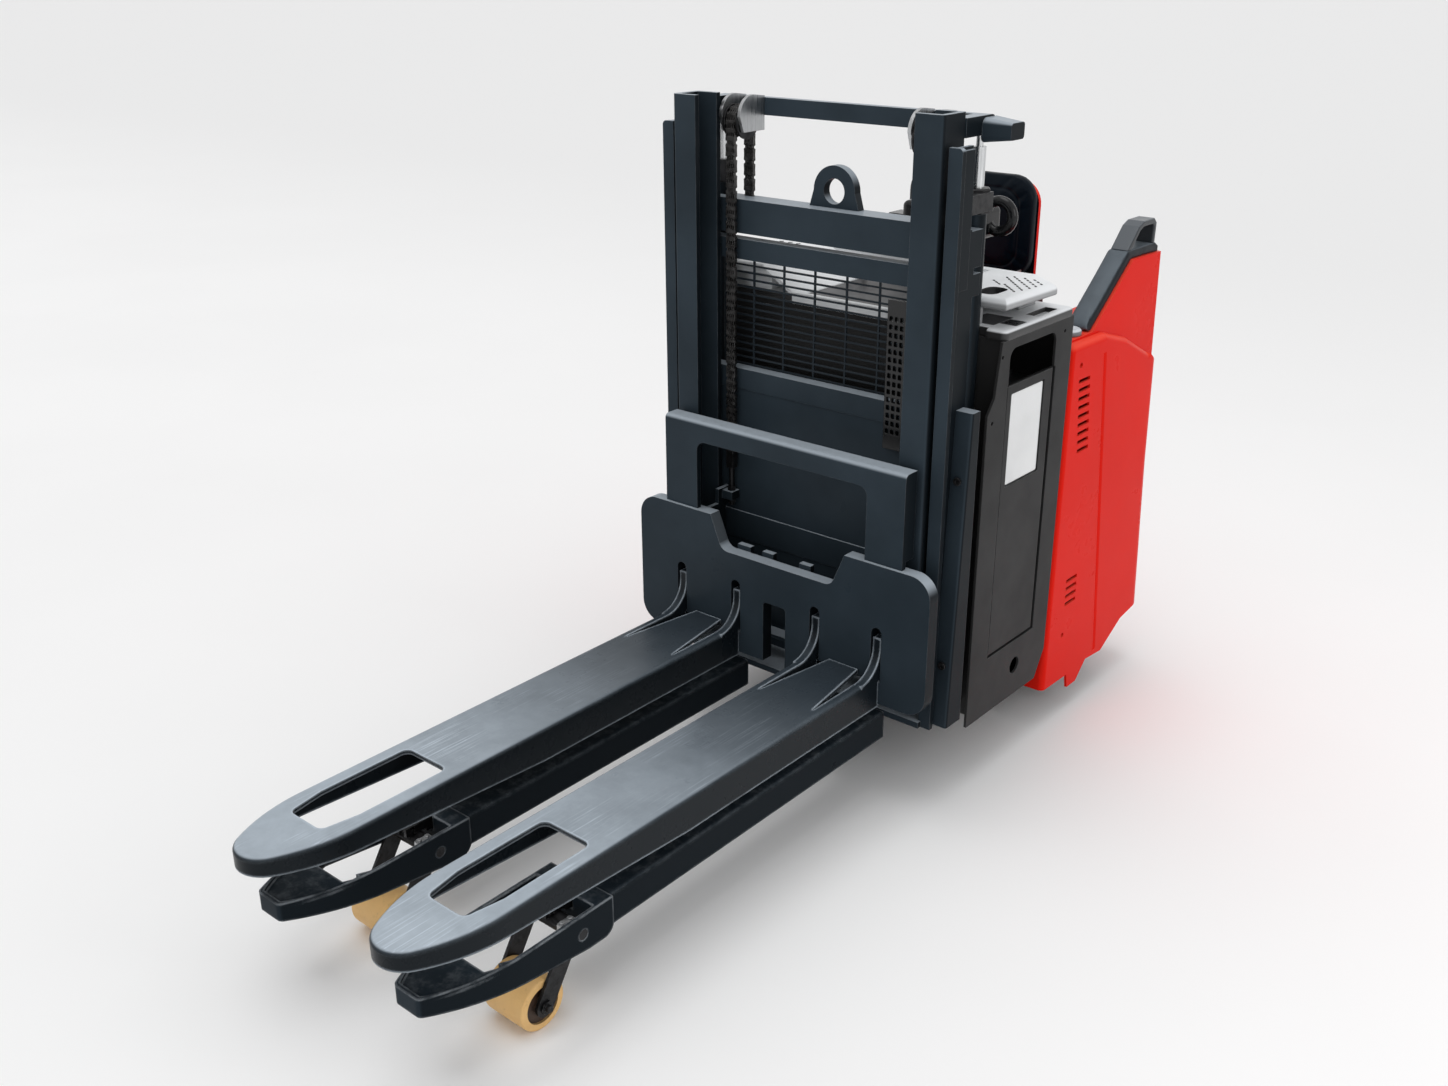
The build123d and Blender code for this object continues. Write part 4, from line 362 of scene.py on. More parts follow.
# Where the wall behind the driver begins
LINING_FROM = (FACE + 0.97, FACE + 0.98)


def shell_plastic(name, colour, lining=None):
    """Body colour with a painted highlight on its shoulders; lining colours the wall behind the
    driver.
    """
    s = Shader(name)
    body = s.clouds(colour, 0.96, 1.03, 2.2)
    # Painted highlight: what faces up turns towards the lighter shoulder red.
    body = s.mix(s.ramp(s.facing("Z"), 0.1, 0.75, 0.0, 0.8), body, SHOULDER_SHEEN_RED)
    if lining is not None:
        behind = s.ramp(s.position("Y"), *LINING_FROM)
        inner = s.product(s.ramp(s.facing("Y"), -0.6, -0.9), behind)
        body = s.mix(inner, body, lining)
    rough = s.ramp(s.noise(7.0, 5.0), 0.25, 0.75, 0.26, 0.36)
    return s.finish(body, rough, Specular_IOR_Level=0.4, IOR=1.13)


# Places on the hood and its tray that get painted shade
VALLEY_HALF, VALLEY_Y = 0.126, (FACE + 0.229, FACE + 0.472)
CUP_X, CUP_HALF, CUP_Y = 0.314, (0.033, 0.030), (FACE + 0.2635, FACE + 0.3445)
POD_FROM = (0.25, 0.28)
WELL_Y, WELL_OUTER = (FACE + 0.2655, FACE + 0.3425), (0.3385, 0.3375)


def hood_plastic(name, colour, top, floor):
    """Dark hood moulding with a pale top skin, and painted shade in the tray's valley and under its
    cups.
    """
    s = Shader(name)
    body = s.clouds(colour, 0.94, 1.06, 5.0)
    body = s.mix(s.ramp(s.facing("Z"), 0.35, 0.75), body, top)
    # Painted shade on the floor of the valley and in the cups.
    across = s.ramp(s.off_centre(), VALLEY_HALF + VALLEY_SOFT, VALLEY_HALF - VALLEY_SOFT)
    lying = s.ramp(s.facing("Z"), 0.8, 0.9)
    valley = s.product(across, s.within("Y", *VALLEY_Y, VALLEY_SOFT))
    body = s.mix(s.product(valley, lying), body, floor)
    from_cup = s.math("ABSOLUTE", s.math("SUBTRACT", s.off_centre(), CUP_X))
    cup = s.product(s.ramp(from_cup, *CUP_HALF), s.within("Y", *CUP_Y, CUP_SOFT))
    body = s.mix(s.product(cup, lying), body, floor)
    return grained(s, body, tint(colour, 1.4, 0.01), 0.1, 0.36, 0.1, 0.008, 0.4)


def tray_plastic(name, colour, edge):
    """Silver tray moulding with painted shade: grey on the sides of its pods, dark on the cup walls
    and darker underneath.
    """
    s = Shader(name)
    body = s.clouds(colour, 0.95, 1.04, 5.0)
    pods = s.ramp(s.off_centre(), *POD_FROM)
    # Painted shade on the sides of the pods.
    rim = s.product(pods, s.ramp(s.facing("Z"), 0.45, -0.1, 0.0, 0.95))
    body = s.mix(rim, body, tint(edge, 1.2))
    # Painted shade on the walls of the cups.
    well = s.product(pods, s.within("Y", *WELL_Y, WELL_SOFT), s.ramp(s.off_centre(), *WELL_OUTER))
    body = s.mix(s.product(well, s.ramp(s.facing("Z"), 0.3, 0.1)), body, tint(edge, 0.15))
    # Painted shade on what faces down.
    body = s.mix(s.ramp(s.facing("Z"), -0.1, -0.5), body, edge)
    return grained(s, body, tint(colour, 0.7), 0.1, 0.35, 0.06, 0.004, 0.5, scale=300.0)


BRUSHED = (1.0, 1.0, 0.05)


def steel(name, colour, gloss):
    """Machined or plated steel with brushed lines and a few dull stains."""
    s = Shader(name)
    lines = s.noise(260.0, 3.0, 0.6, s.stretch(BRUSHED))
    body = s.mix(s.ramp(lines, 0.3, 0.7), tint(colour, 0.85), tint(colour, 1.1))
    stains = s.ramp(s.noise(34.0, 5.0, 0.7), 0.55, 0.72, 0.0, 0.12)
    body = s.mix(stains, body, tint(colour, 0.6))
    rough = s.ramp(lines, 0.25, 0.75, gloss - 0.07, gloss + 0.1)
    return s.finish(body, rough, s.bump(lines, 0.05, BRUSH_DEPTH, s.rounded(0.001)), Metallic=1.0)


CHIP_GREY = (0.32, 0.32, 0.33)


def oiled(name, colour, gloss=0.38, metal=0.75):
    """Dark oiled steel with greasy dirt and bare chips on its edges."""
    s = Shader(name)
    grease = s.ramp(s.noise(60.0, 5.0, 0.7), 0.4, 0.7)
    body = s.mix(grease, colour, tint(colour, 0.45))
    patchy = s.ramp(s.noise(90.0, 4.0), 0.45, 0.6)
    chips = s.product(s.edges(s.rounded(0.0012), *FINE_BAND), patchy, 0.6)
    body = s.mix(chips, body, CHIP_GREY)
    rough = s.ramp(s.noise(45.0, 4.0), 0.3, 0.7, gloss - 0.1, gloss + 0.15)
    relief = s.bump(s.noise(240.0, 3.0), 0.08, PIT_DEPTH, s.rounded(0.001))
    return s.finish(body, rough, relief, Metallic=metal)


def wheel(name, tread, hub, centre, hub_radius, gloss=0.5):
    """Wheel whose tyre and hub differ, told apart by the distance from the axle."""
    s = Shader(name)
    along = s.math("SUBTRACT", s.position("Y"), centre[1])
    above = s.math("SUBTRACT", s.position("Z"), centre[2])
    squares = s.math("ADD", s.product(along, along), s.product(above, above))
    outside = s.ramp(s.math("SQRT", squares), hub_radius - HUB_SOFT, hub_radius + HUB_SOFT)
    mottled = s.clouds(tread, 0.88, 1.0, 16.0, 5.0, 0.6)
    dirt = s.ramp(s.noise(70.0, 5.0, 0.75), 0.56, 0.72, 0.0, 0.35)
    mottled = s.mix(dirt, mottled, tint(tread, 0.45))
    core = s.mix(s.ramp(s.noise(50.0, 5.0, 0.7), 0.35, 0.65), hub, tint(hub, 0.5))
    body = s.mix(outside, core, mottled)
    rough = s.ramp(s.noise(30.0, 4.0), 0.3, 0.7, gloss - 0.06, gloss + 0.1)
    relief = s.bump(s.noise(300.0, 3.0), 0.07, PIT_DEPTH, s.rounded(0.0015))
    return s.finish(body, rough, relief, Specular_IOR_Level=0.5)


def vinyl(name, colour, gloss, side=None):
    """Upholstery vinyl: leather grain, faint creases and sheen; side is the darker colour of its
    flank, painted shade.
    """
    s = Shader(name)
    body = s.clouds(colour, 0.86, 1.12, 8.0, 5.0, 0.6)
    # Painted shade on the flank that faces sideways.
    if side is not None:
        body = s.mix(s.ramp(s.facing("X"), 0.45, 0.8), body, side)
    pores = s.cells(480.0)
    body = s.mix(s.ramp(pores, 0.0, 0.35, 0.35, 0.0), body, tint(colour, 0.55))
    height = s.math("ADD", pores, s.product(s.noise(60.0, 5.0, 0.6), 0.8))
    rough = s.ramp(s.noise(25.0, 4.0), 0.3, 0.7, gloss - 0.07, gloss + 0.08)
    leather = s.bump(height, 0.22, PEEL_DEPTH)
    return s.finish(body, rough, leather, Specular_IOR_Level=0.3, Sheen_Weight=0.02, IOR=1.25)


def rubber(name, colour):
    """Dull rubber with a fine pitted skin and scuffs."""
    s = Shader(name)
    scuffs = s.ramp(s.noise(28.0, 6.0, 0.75), 0.5, 0.72, 0.0, 0.5)
    body = s.mix(scuffs, colour, tint(colour, 2.0, 0.015))
    rough = s.ramp(s.noise(40.0, 4.0), 0.3, 0.7, 0.54, 0.74)
    pits = s.bump(s.cells(520.0), 0.2, PIT_DEPTH, s.rounded(0.001))
    return s.finish(body, rough, pits, Specular_IOR_Level=0.35)


STEEL_BLUE = (0.0180, 0.0260, 0.0340)
# Mast paint, and the lighter colour painted on its upward faces as a painted highlight.
MAST_BLUE, MAST_LIT_TOP = (0.0285, 0.0405, 0.0520), (0.37, 0.42, 0.47)
# Colour of scuffed edges, brightened into a painted highlight.
WORN_AND_GLINT_BLUE = (0.46, 0.50, 0.54)
CHARCOAL = (0.030, 0.030, 0.0305)
RED = (0.72, 0.0125, 0.0055)
# Hood colours: moulding, pale top skin, and the painted shade of its valley and cups.
HOOD_GREY, HOOD_TOP, HOOD_VALLEY_SHADE = (0.034, 0.034, 0.0345), (0.74, 0.76, 0.78), (0.030, 0.031, 0.033)
HEAD_BLACK = (0.0035, 0.0040, 0.0050)
# Grip and bumper colours, each with a lighter colour painted on its upward faces as a painted
# highlight.
GRIP_GREY, GRIP_LIT_TOP = (0.022, 0.027, 0.032), (0.085, 0.098, 0.112)
BUMPER_GREY, BUMPER_LIT_TOP = (0.15, 0.16, 0.17), (0.62, 0.65, 0.69)
TAN, TAN_HUB = (0.84, 0.52, 0.20), (0.055, 0.028, 0.016)
TYRE, TYRE_HUB = (0.022, 0.022, 0.023), (0.20, 0.20, 0.21)
LOAD_HUB_R, DRIVE_HUB_R, CASTOR_HUB_R = 0.036, 0.084, 0.034
DOOR_FACE_X = 0.3892

# Mast paint with a painted highlight on its tops and painted shade on its sides.
MAST = paint("mast_paint", MAST_BLUE, WORN_AND_GLINT_BLUE, top=MAST_LIT_TOP, flank=0.25, coat=1.25)
# Arm paint with wide painted highlights on its edges and painted shade on its sides.
ARM = paint(
    "arm_paint", STEEL_BLUE, WORN_AND_GLINT_BLUE,
    edge=0.007, band=WIDE_BAND, wear_and_glint=0.95, flank=0.5, coat=1.16,
)
# Fork paint; its second colour is scuffed steel and painted reflection.
FORK = fork_paint("fork_paint", STEEL_BLUE, (0.43, 0.49, 0.55))
BOX = paint("box_paint", CHARCOAL, (0.24, 0.243, 0.248), gloss=0.42)
# Door paint, with painted shade in the gap behind the door face.
DOOR = paint("door_paint", CHARCOAL, (0.28, 0.283, 0.288), gloss=0.42, inside=DOOR_FACE_X)
GUARD = paint("guard_paint", (0.020, 0.027, 0.034), (0.08, 0.085, 0.09))
SHELL = shell_plastic("red_shell", RED)
LEFT_SHELL = shell_plastic("red_shell_lined", RED, lining=(0.004, 0.008, 0.013))
HOOD = hood_plastic("hood_plastic", HOOD_GREY, HOOD_TOP, HOOD_VALLEY_SHADE)
TOWER = moulding("tower_plastic", (0.020, 0.0205, 0.022), 0.4)
TRAY = tray_plastic("tray_plastic", (0.83, 0.85, 0.87), (0.20, 0.205, 0.21))
BLACK = moulding("black_plastic", (0.0085, 0.0088, 0.0098), 0.24, depth=0.05, edge=0.003)
HEAD = moulding("head_plastic", HEAD_BLACK, 0.12, depth=0.02, edge=0.004, shine=0.35, flecks=0.03)
STOP_RED = moulding("stop_red", (0.55, 0.012, 0.010), 0.26, depth=0.03)
AMBER = moulding("amber_plastic", (0.72, 0.40, 0.03), 0.3, depth=0.03)
CELLS = moulding("cell_case", (0.016, 0.0165, 0.018), 0.45)
STEEL = steel("machined_steel", (0.32, 0.32, 0.33), 0.36)
ZINC = steel("zinc_plate", (0.46, 0.47, 0.48), 0.32)
CHROME = steel("rod_chrome", (0.66, 0.67, 0.68), 0.24)
DARK_STEEL = oiled("oiled_steel", (0.030, 0.030, 0.032))
CHAIN = oiled("chain_steel", (0.095, 0.092, 0.090), 0.28, 0.9)
MAT = rubber("mat_rubber", (0.012, 0.012, 0.013))
PAD = vinyl("pad_vinyl", (0.0012, 0.0045, 0.0095), 0.36)
SIDE_PAD = vinyl("side_pad_skin", (0.110, 0.132, 0.152), 0.4, side=(0.016, 0.019, 0.023))
GRIP = moulding("grip_plastic", GRIP_GREY, 0.3, depth=0.06, edge=0.004, tops=GRIP_LIT_TOP)
BUMPER = moulding("bumper_rubber", BUMPER_GREY, 0.4, depth=0.06, edge=0.003, tops=BUMPER_LIT_TOP)
LABEL = moulding("blank_label", (0.72, 0.73, 0.735), 0.42, depth=0.02)
LOAD_LEFT = wheel("load_wheel_left", TAN, TAN_HUB, at(-0.190, -0.940, 0.050), LOAD_HUB_R)
LOAD_RIGHT = wheel("load_wheel_right", TAN, TAN_HUB, at(0.190, -0.940, 0.050), LOAD_HUB_R)
DRIVE = wheel("drive_wheel", TYRE, TYRE_HUB, at(-0.245, 0.690, 0.115), DRIVE_HUB_R, 0.6)
CASTOR = wheel("castor_wheel", TYRE, TYRE_HUB, at(0.290, 0.880, 0.060), CASTOR_HUB_R, 0.6)

FINISH = {
    MAST: (
        "carriage_plate load_backrest inner_mast crosshead outer_mast lifting_eye mast_covers "
        "lift_cylinders"
    ),
    ARM: "support_arms arm_tips",
    FORK: "fork_left fork_right",
    BOX: "battery_box chassis initial_lift_cylinder pump_unit platform drive_motor",
    DOOR: "side_doors",
    GUARD: "mast_guard",
    HEAD: "steering_head",
    SHELL: "right_shell",
    LEFT_SHELL: "left_shell",
    HOOD: "battery_hood",
    TOWER: "steering_tower",
    TRAY: "hood_tray",
    BLACK: "hose_guide hood_latch lift_rocker drive_butterfly",
    STOP_RED: "emergency_stop",
    AMBER: "horn_button",
    CELLS: "battery",
    STEEL: "carriage_rollers_lower carriage_rollers_upper mast_rollers key_switch",
    ZINC: "pulley_brackets",
    CHROME: "lift_rods initial_lift_rod",
    DARK_STEEL: (
        "chain_anchors chain_pulleys cover_screws cylinder_glands lever_pins load_levers "
        "wheel_axles push_rods drive_turret castor_fork"
    ),
    CHAIN: "chain_front chain_rear",
    GRIP: "grab_handle",
    MAT: "platform_mat",
    PAD: "backrest_pad",
    SIDE_PAD: "side_pad",
    LOAD_LEFT: "load_wheel_left",
    LOAD_RIGHT: "load_wheel_right",
    DRIVE: "drive_wheel",
    CASTOR: "castor_wheel",
}
for material, names in FINISH.items():
    for name in names.split():
        nodes[name].data.materials.clear()
        nodes[name].data.materials.append(material)


# Pieces built in mesh code
def make_piece(name, mesh, material, slot, *replaced):
    """New piece from a filled bmesh, standing in for the nodes it hides; the slot argument is not
    used.
    """
    bmesh.ops.recalc_face_normals(mesh, faces=mesh.faces)
    data = bpy.data.meshes.new(name)
    mesh.to_mesh(data)
    mesh.free()
    data.materials.append(material)
    piece = link(bpy.data.objects.new(name, data))
    if replaced:
        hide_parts(*replaced)
    return piece


def smooth(piece, angle=35.0):
    """Shade smooth, with sharp edges past an angle."""
    piece.data.polygons.foreach_set("use_smooth", [True] * len(piece.data.polygons))
    piece.data.set_sharp_from_angle(angle=math.radians(angle))


def prism(mesh, outline, offset):
    """Closed plate: an outline of points and the same outline moved by offset."""
    near = [mesh.verts.new(point) for point in outline]
    far = [mesh.verts.new(Vector(point) + Vector(offset)) for point in outline]
    mesh.faces.new(near)
    mesh.faces.new(reversed(far))
    for i in range(len(near)):
        j = (i + 1) % len(near)
        mesh.faces.new((near[j], near[i], far[i], far[j]))


def lathe(mesh, centre, axis, profile, steps):
    """Closed turned body: profile is (distance along the axis, radius) from end to end."""
    axis = Vector(axis).normalized()
    side = axis.orthogonal().normalized()
    other = axis.cross(side)
    rings = []
    for along, radius in profile:
        ring = []
        for i in range(steps):
            turn = 2 * math.pi * i / steps
            spoke = side * math.cos(turn) + other * math.sin(turn)
            ring.append(mesh.verts.new(Vector(centre) + axis * along + spoke * radius))
        rings.append(ring)
    mesh.faces.new(reversed(rings[0]))
    mesh.faces.new(rings[-1])
    for low, high in zip(rings, rings[1:]):
        for i in range(steps):
            j = (i + 1) % steps
            mesh.faces.new((low[i], low[j], high[j], high[i]))


def bevel(mesh, edges, offset):
    """Round some edges a little."""
    bmesh.ops.bevel(mesh, geom=edges, offset=offset, segments=2, affect="EDGES")


def edges_above(mesh, height):
    """Edges that lie wholly above a height."""
    return [e for e in mesh.edges if min(v.co.z for v in e.verts) > height]


# Leaf chains: waisted plates laced on pins, over the pulleys and down to the crossmember
CHAIN_X = 0.235
CHAIN_FRONT_Y, CHAIN_REAR_Y = 0.137, 0.198
CHAIN_LOW, CHAIN_TOP, CHAIN_END = 0.672, 1.395, 1.237
FRONT_LINKS, WRAP_LINKS, REAR_LINKS = 45, 6, 10
FRONT_PIECES, REAR_PIECES = 5, 3
PLATE_EYE, PLATE_WAIST, PLATE_THICK = 0.0057, 0.0038, 0.0024
EYE_ARC, EYE_STEPS = 110, 6
OUTER_ROW = (-0.0112, -0.0056, 0.0, 0.0056, 0.0112)
INNER_ROW = (-0.0084, -0.0028, 0.0028, 0.0084)
PIN_PROFILE = ((-0.0129, 0.0020), (-0.0124, 0.0029), (0.0124, 0.0029), (0.0129, 0.0020))
PIN_STEPS = 8


def chain_pins():
    """Pin places along the chain as (y, h), from the carriage to the crossmember."""
    radius = (CHAIN_REAR_Y - CHAIN_FRONT_Y) / 2
    middle = (CHAIN_REAR_Y + CHAIN_FRONT_Y) / 2
    rise = (CHAIN_TOP - CHAIN_LOW) / FRONT_LINKS
    fall = (CHAIN_TOP - CHAIN_END) / REAR_LINKS
    pins = [(CHAIN_FRONT_Y, CHAIN_LOW + rise * i) for i in range(FRONT_LINKS)]
    for i in range(WRAP_LINKS):
        turn = math.pi - math.pi * i / WRAP_LINKS
        pins.append((middle + radius * math.cos(turn), CHAIN_TOP + radius * math.sin(turn)))
    return pins + [(CHAIN_REAR_Y, CHAIN_TOP - fall * i) for i in range(REAR_LINKS + 1)]


def plate_outline(low, high):
    """Waisted outline round two pins, as (y, h) points."""
    run = Vector((high[0] - low[0], high[1] - low[1]))
    pitch = run.length
    along = run / pitch
    across = Vector((-along.y, along.x))
    points = []
    for centre, faces, waist in ((0.0, 180, -PLATE_WAIST), (pitch, 0, PLATE_WAIST)):
        for i in range(EYE_STEPS + 1):
            turn = math.radians(faces - EYE_ARC / 2 + EYE_ARC * i / EYE_STEPS)
            points.append((centre + PLATE_EYE * math.cos(turn), PLATE_EYE * math.sin(turn)))
        points.append((pitch / 2, waist))
    return [Vector(low) + along * u + across * v for u, v in points]


def chain_piece(name, pins, first, last, node, last_pin=False):
    """Links first..last of both chains, each with the pin at its start."""
    mesh = bmesh.new()
    for side in (-CHAIN_X, CHAIN_X):
        for i in range(first, last):
            shape = plate_outline(pins[i], pins[i + 1])
            for offset in OUTER_ROW if i % 2 else INNER_ROW:
                x = side + offset - PLATE_THICK / 2
                prism(mesh, [at(x, y, h) for y, h in shape], (PLATE_THICK, 0, 0))
        for i in range(first, last + 1 if last_pin else last):
            lathe(mesh, at(side, *pins[i]), (1, 0, 0), PIN_PROFILE, PIN_STEPS)
    return make_piece(name, mesh, CHAIN, "dark_steel", node)


def chain_run(name, pins, first, last, pieces, node):
    """A straight run in short pieces, each with its transform baked into its mesh."""
    for i in range(pieces):
        begin = first + (last - first) * i // pieces
        end = first + (last - first) * (i + 1) // pieces
        ends_run = end == len(pins) - 1
        piece = chain_piece(f"{name}_{i + 1}", pins, begin, end, node, last_pin=ends_run)
        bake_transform(piece)


def make_chains():
    pins = chain_pins()
    over = FRONT_LINKS + WRAP_LINKS
    chain_run(
        "chain_links_front", pins, 0, FRONT_LINKS, FRONT_PIECES,
        "chain_front",
    )
    wrap = chain_piece("chain_links_wrap", pins, FRONT_LINKS, over, "chain_front")
    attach(wrap, "inner_mast")
    chain_run(
        "chain_links_rear", pins, over, over + REAR_LINKS, REAR_PIECES,
        "chain_rear",
    )


make_chains()


# Upholstery: sewn covers blown up as cloth, and the backrest's then pressed in along its sewn line
CLOTH_PRESSURE, CLOTH_FRAMES = 4.0, 20
CUSHION_ANGLE = 80


def apply_modifiers(piece):
    graph = bpy.context.evaluated_depsgraph_get()
    data = bpy.data.meshes.new_from_object(piece.evaluated_get(graph))
    piece.modifiers.clear()
    piece.data = data


def swell(piece, voxel, cap, held):
    """Remesh the piece and blow it up as cloth, keeping every point within cap of its start."""
    remesh = piece.modifiers.new("remesh", "REMESH")
    remesh.mode = "VOXEL"
    remesh.voxel_size = voxel
    apply_modifiers(piece)
    begun = [vertex.co.copy() for vertex in piece.data.vertices]
    group = piece.vertex_groups.new(name="held")
    group.add([i for i, point in enumerate(begun) if held(point)], 1.0, "REPLACE")
    cloth = piece.modifiers.new("cloth", "CLOTH")
    cloth.settings.use_pressure = True
    cloth.settings.uniform_pressure_force = CLOTH_PRESSURE
    cloth.settings.vertex_group_mass = group.name
    cloth.settings.effector_weights.gravity = 0.0
    for number in range(1, CLOTH_FRAMES + 1):
        scene.frame_set(number)
    apply_modifiers(piece)
    piece.vertex_groups.clear()
    for vertex, start in zip(piece.data.vertices, begun):
        moved = vertex.co - start
        if moved.length > cap:
            vertex.co = start + moved * (cap / moved.length)
    scene.frame_set(1)
    finer = piece.modifiers.new("finer", "SUBSURF")
    finer.levels = finer.render_levels = 1
    apply_modifiers(piece)


def copy_of(node, keep, move):
    """Bmesh of part of a node's solids, with every point moved a little."""
    mesh = bmesh.new()
    mesh.from_mesh(nodes[node].data)
    bmesh.ops.remove_doubles(mesh, verts=mesh.verts, dist=1e-5)
    bmesh.ops.delete(mesh, geom=[v for v in mesh.verts if not keep(v.co)], context="VERTS")
    for vertex in mesh.verts:
        vertex.co = move(vertex.co)
    return mesh


def from_rounded_box(x, h, half, corner):
    """Distance from a rounded rectangle's line, negative inside."""
    over_x = abs(x) - half[0] + corner
    over_h = abs(h) - half[1] + corner
    outside = math.hypot(max(over_x, 0.0), max(over_h, 0.0))
    return outside + min(max(over_x, over_h), 0.0) - corner


# Backrest: the room left for swelling, the border that is held, and the sewn line in its front
BACK_ROOM, BACK_DEPTH = 0.0008, 0.90
BACK_CORNER, BACK_BORDER, BACK_GAP = 0.058, 0.006, 0.0002
SEAM_INSET, SEAM_CORNER = (0.036, 0.034), 0.045
SEAM_DEPTH, SEAM_WIDTH = 0.0034, 0.0042


def make_backrest():
    low, high = (Vector(corner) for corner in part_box("backrest_pad"))
    middle = (low + high) / 2
    half = (high - low) / 2

    def shrunk(point):
        slim = 1 - BACK_ROOM / half.x, BACK_DEPTH, 1 - BACK_ROOM / half.z
        return Vector((
            middle.x + (point.x - middle.x) * slim[0],
            high.y + (point.y - high.y) * slim[1],
            middle.z + (point.z - middle.z) * slim[2],
        ))

    def held(point):
        x, h = point.x - middle.x, point.z - middle.z
        line = from_rounded_box(x, h, (half.x, half.z), BACK_CORNER)
        return line > -BACK_BORDER or point.y > high.y - BACK_BORDER

    mesh = copy_of("backrest_pad", lambda point: True, shrunk)
    pad = make_piece("backrest_cushion", mesh, PAD, "pad_skin", "backrest_pad")
    swell(pad, 0.005, 0.005, held)
    seam = half.x - SEAM_INSET[0], half.z - SEAM_INSET[1]
    for vertex in pad.data.vertices:
        vertex.co.y = min(vertex.co.y, high.y - BACK_GAP)
        if vertex.normal.y < -0.4:
            x, h = vertex.co.x - middle.x, vertex.co.z - middle.z
            line = from_rounded_box(x, h, seam, SEAM_CORNER)
            vertex.co.y += SEAM_DEPTH * math.exp(-(line / SEAM_WIDTH) ** 2)
    smooth(pad, CUSHION_ANGLE)
    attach(pad, "drive_unit")


# Side pad on the leaning top of the column, and the round bumper at its foot
SLOPE_LOW, SLOPE_TOP = Vector((0.643, 0.938)), Vector((0.826, 1.078))
SLOPE = (SLOPE_TOP - SLOPE_LOW).normalized()
SIDE_ROOM, SIDE_HELD, SIDE_END = 0.005, 0.004, (0.83, 1.082)
BUMPER_AT, BUMPER_R, BUMPER_STEPS = (0.337, 0.600, 0.945), 0.034, 48
BUMPER_PROFILE = (
    (0.0, 0.0330), (0.0015, 0.0340), (0.0075, 0.0340), (0.0105, 0.0328), (0.0128, 0.0300),
    (0.0138, 0.0265), (0.0138, 0.0235), (0.0130, 0.0215), (0.0122, 0.0190), (0.0118, 0.0120),
    (0.0117, 0.0010),
)


def above_slope(point):
    """Height of a point over the leaning top of the column."""
    along, up = point.y - FACE - SLOPE_LOW.x, point.z - SLOPE_LOW.y
    return up * SLOPE.x - along * SLOPE.y


def make_side_pad():
    low, high = (Vector(corner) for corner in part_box("side_pad"))
    middle = (low.x + high.x) / 2
    foot = FACE + BUMPER_AT[1] + BUMPER_R + 0.001
    slim = 1 - SIDE_ROOM / (high.x - low.x)

    def slimmer(point):
        return Vector((middle + (point.x - middle) * slim, point.y, point.z))

    def held(point):
        at_end = point.z < SIDE_END[1] and point.y > FACE + SIDE_END[0]
        return above_slope(point) < SIDE_HELD or at_end

    mesh = copy_of("side_pad", lambda point: point.y > foot, slimmer)
    pad = make_piece("side_cushion", mesh, SIDE_PAD, "pad_skin", "side_pad")
    swell(pad, 0.004, 0.004, held)
    smooth(pad, CUSHION_ANGLE)
    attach(pad, "drive_unit")
    mesh = bmesh.new()
    lathe(mesh, at(*BUMPER_AT), UP, BUMPER_PROFILE, BUMPER_STEPS)
    bumper = make_piece("foot_bumper", mesh, BUMPER, "pad_skin", "side_pad")
    smooth(bumper)
    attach(bumper, "drive_unit")


make_backrest()
make_side_pad()


# Blank plate in the door, pips on the tray, the cells' caps and bars in the battery window, and
# the keepers on the arm tips
def rounded_outline(width, height, corner, steps=6):
    """Points round a rectangle with round corners, about the origin."""
    points = []
    for i, (u, v) in enumerate(((1, 1), (-1, 1), (-1, -1), (1, -1))):
        for k in range(steps + 1):
            turn = math.radians(90 * i + 90 * k / steps)
            points.append((
                u * (width / 2 - corner) + corner * math.cos(turn),
                v * (height / 2 - corner) + corner * math.sin(turn),
            ))
    return points


LABEL_X, LABEL_Y, LABEL_H = 0.392, 0.3375, 0.795
LABEL_SIZE, LABEL_CORNER, LABEL_THICK, LABEL_BEVEL = (0.130, 0.197), 0.004, 0.0010, 0.0003


def make_door_plate():
    mesh = bmesh.new()
    outline = rounded_outline(*LABEL_SIZE, LABEL_CORNER)
    shape = [at(LABEL_X, LABEL_Y + u, LABEL_H + v) for u, v in outline]
    prism(mesh, shape, (LABEL_THICK, 0, 0))
    rims = [e for e in mesh.edges if abs(e.verts[0].co.x - e.verts[1].co.x) < 1e-6]
    bevel(mesh, rims, LABEL_BEVEL)
    plate = make_piece("door_plate", mesh, LABEL, "hood_plastic")
    smooth(plate)
    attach(plate, "front_section")


TRAY_TOP = 1.090
PIP_SIZE, PIP_CORNER, PIP_PITCH = (0.0042, 0.0110), 0.0020, 0.0165
PIP_SUNK, PIP_HEIGHT, PIP_BEVEL = 0.0003, 0.0013, 0.0004
PIP_ROWS = (
    ((0.270, 0.387), (0.294, 0.366)),
    ((0.308, 0.366), (0.352, 0.324)),
    ((0.277, 0.429), (0.358, 0.345)),
    ((0.287, 0.443), (0.362, 0.369)),
    ((0.311, 0.444), (0.364, 0.392)),
    ((0.335, 0.442), (0.364, 0.416)),
)


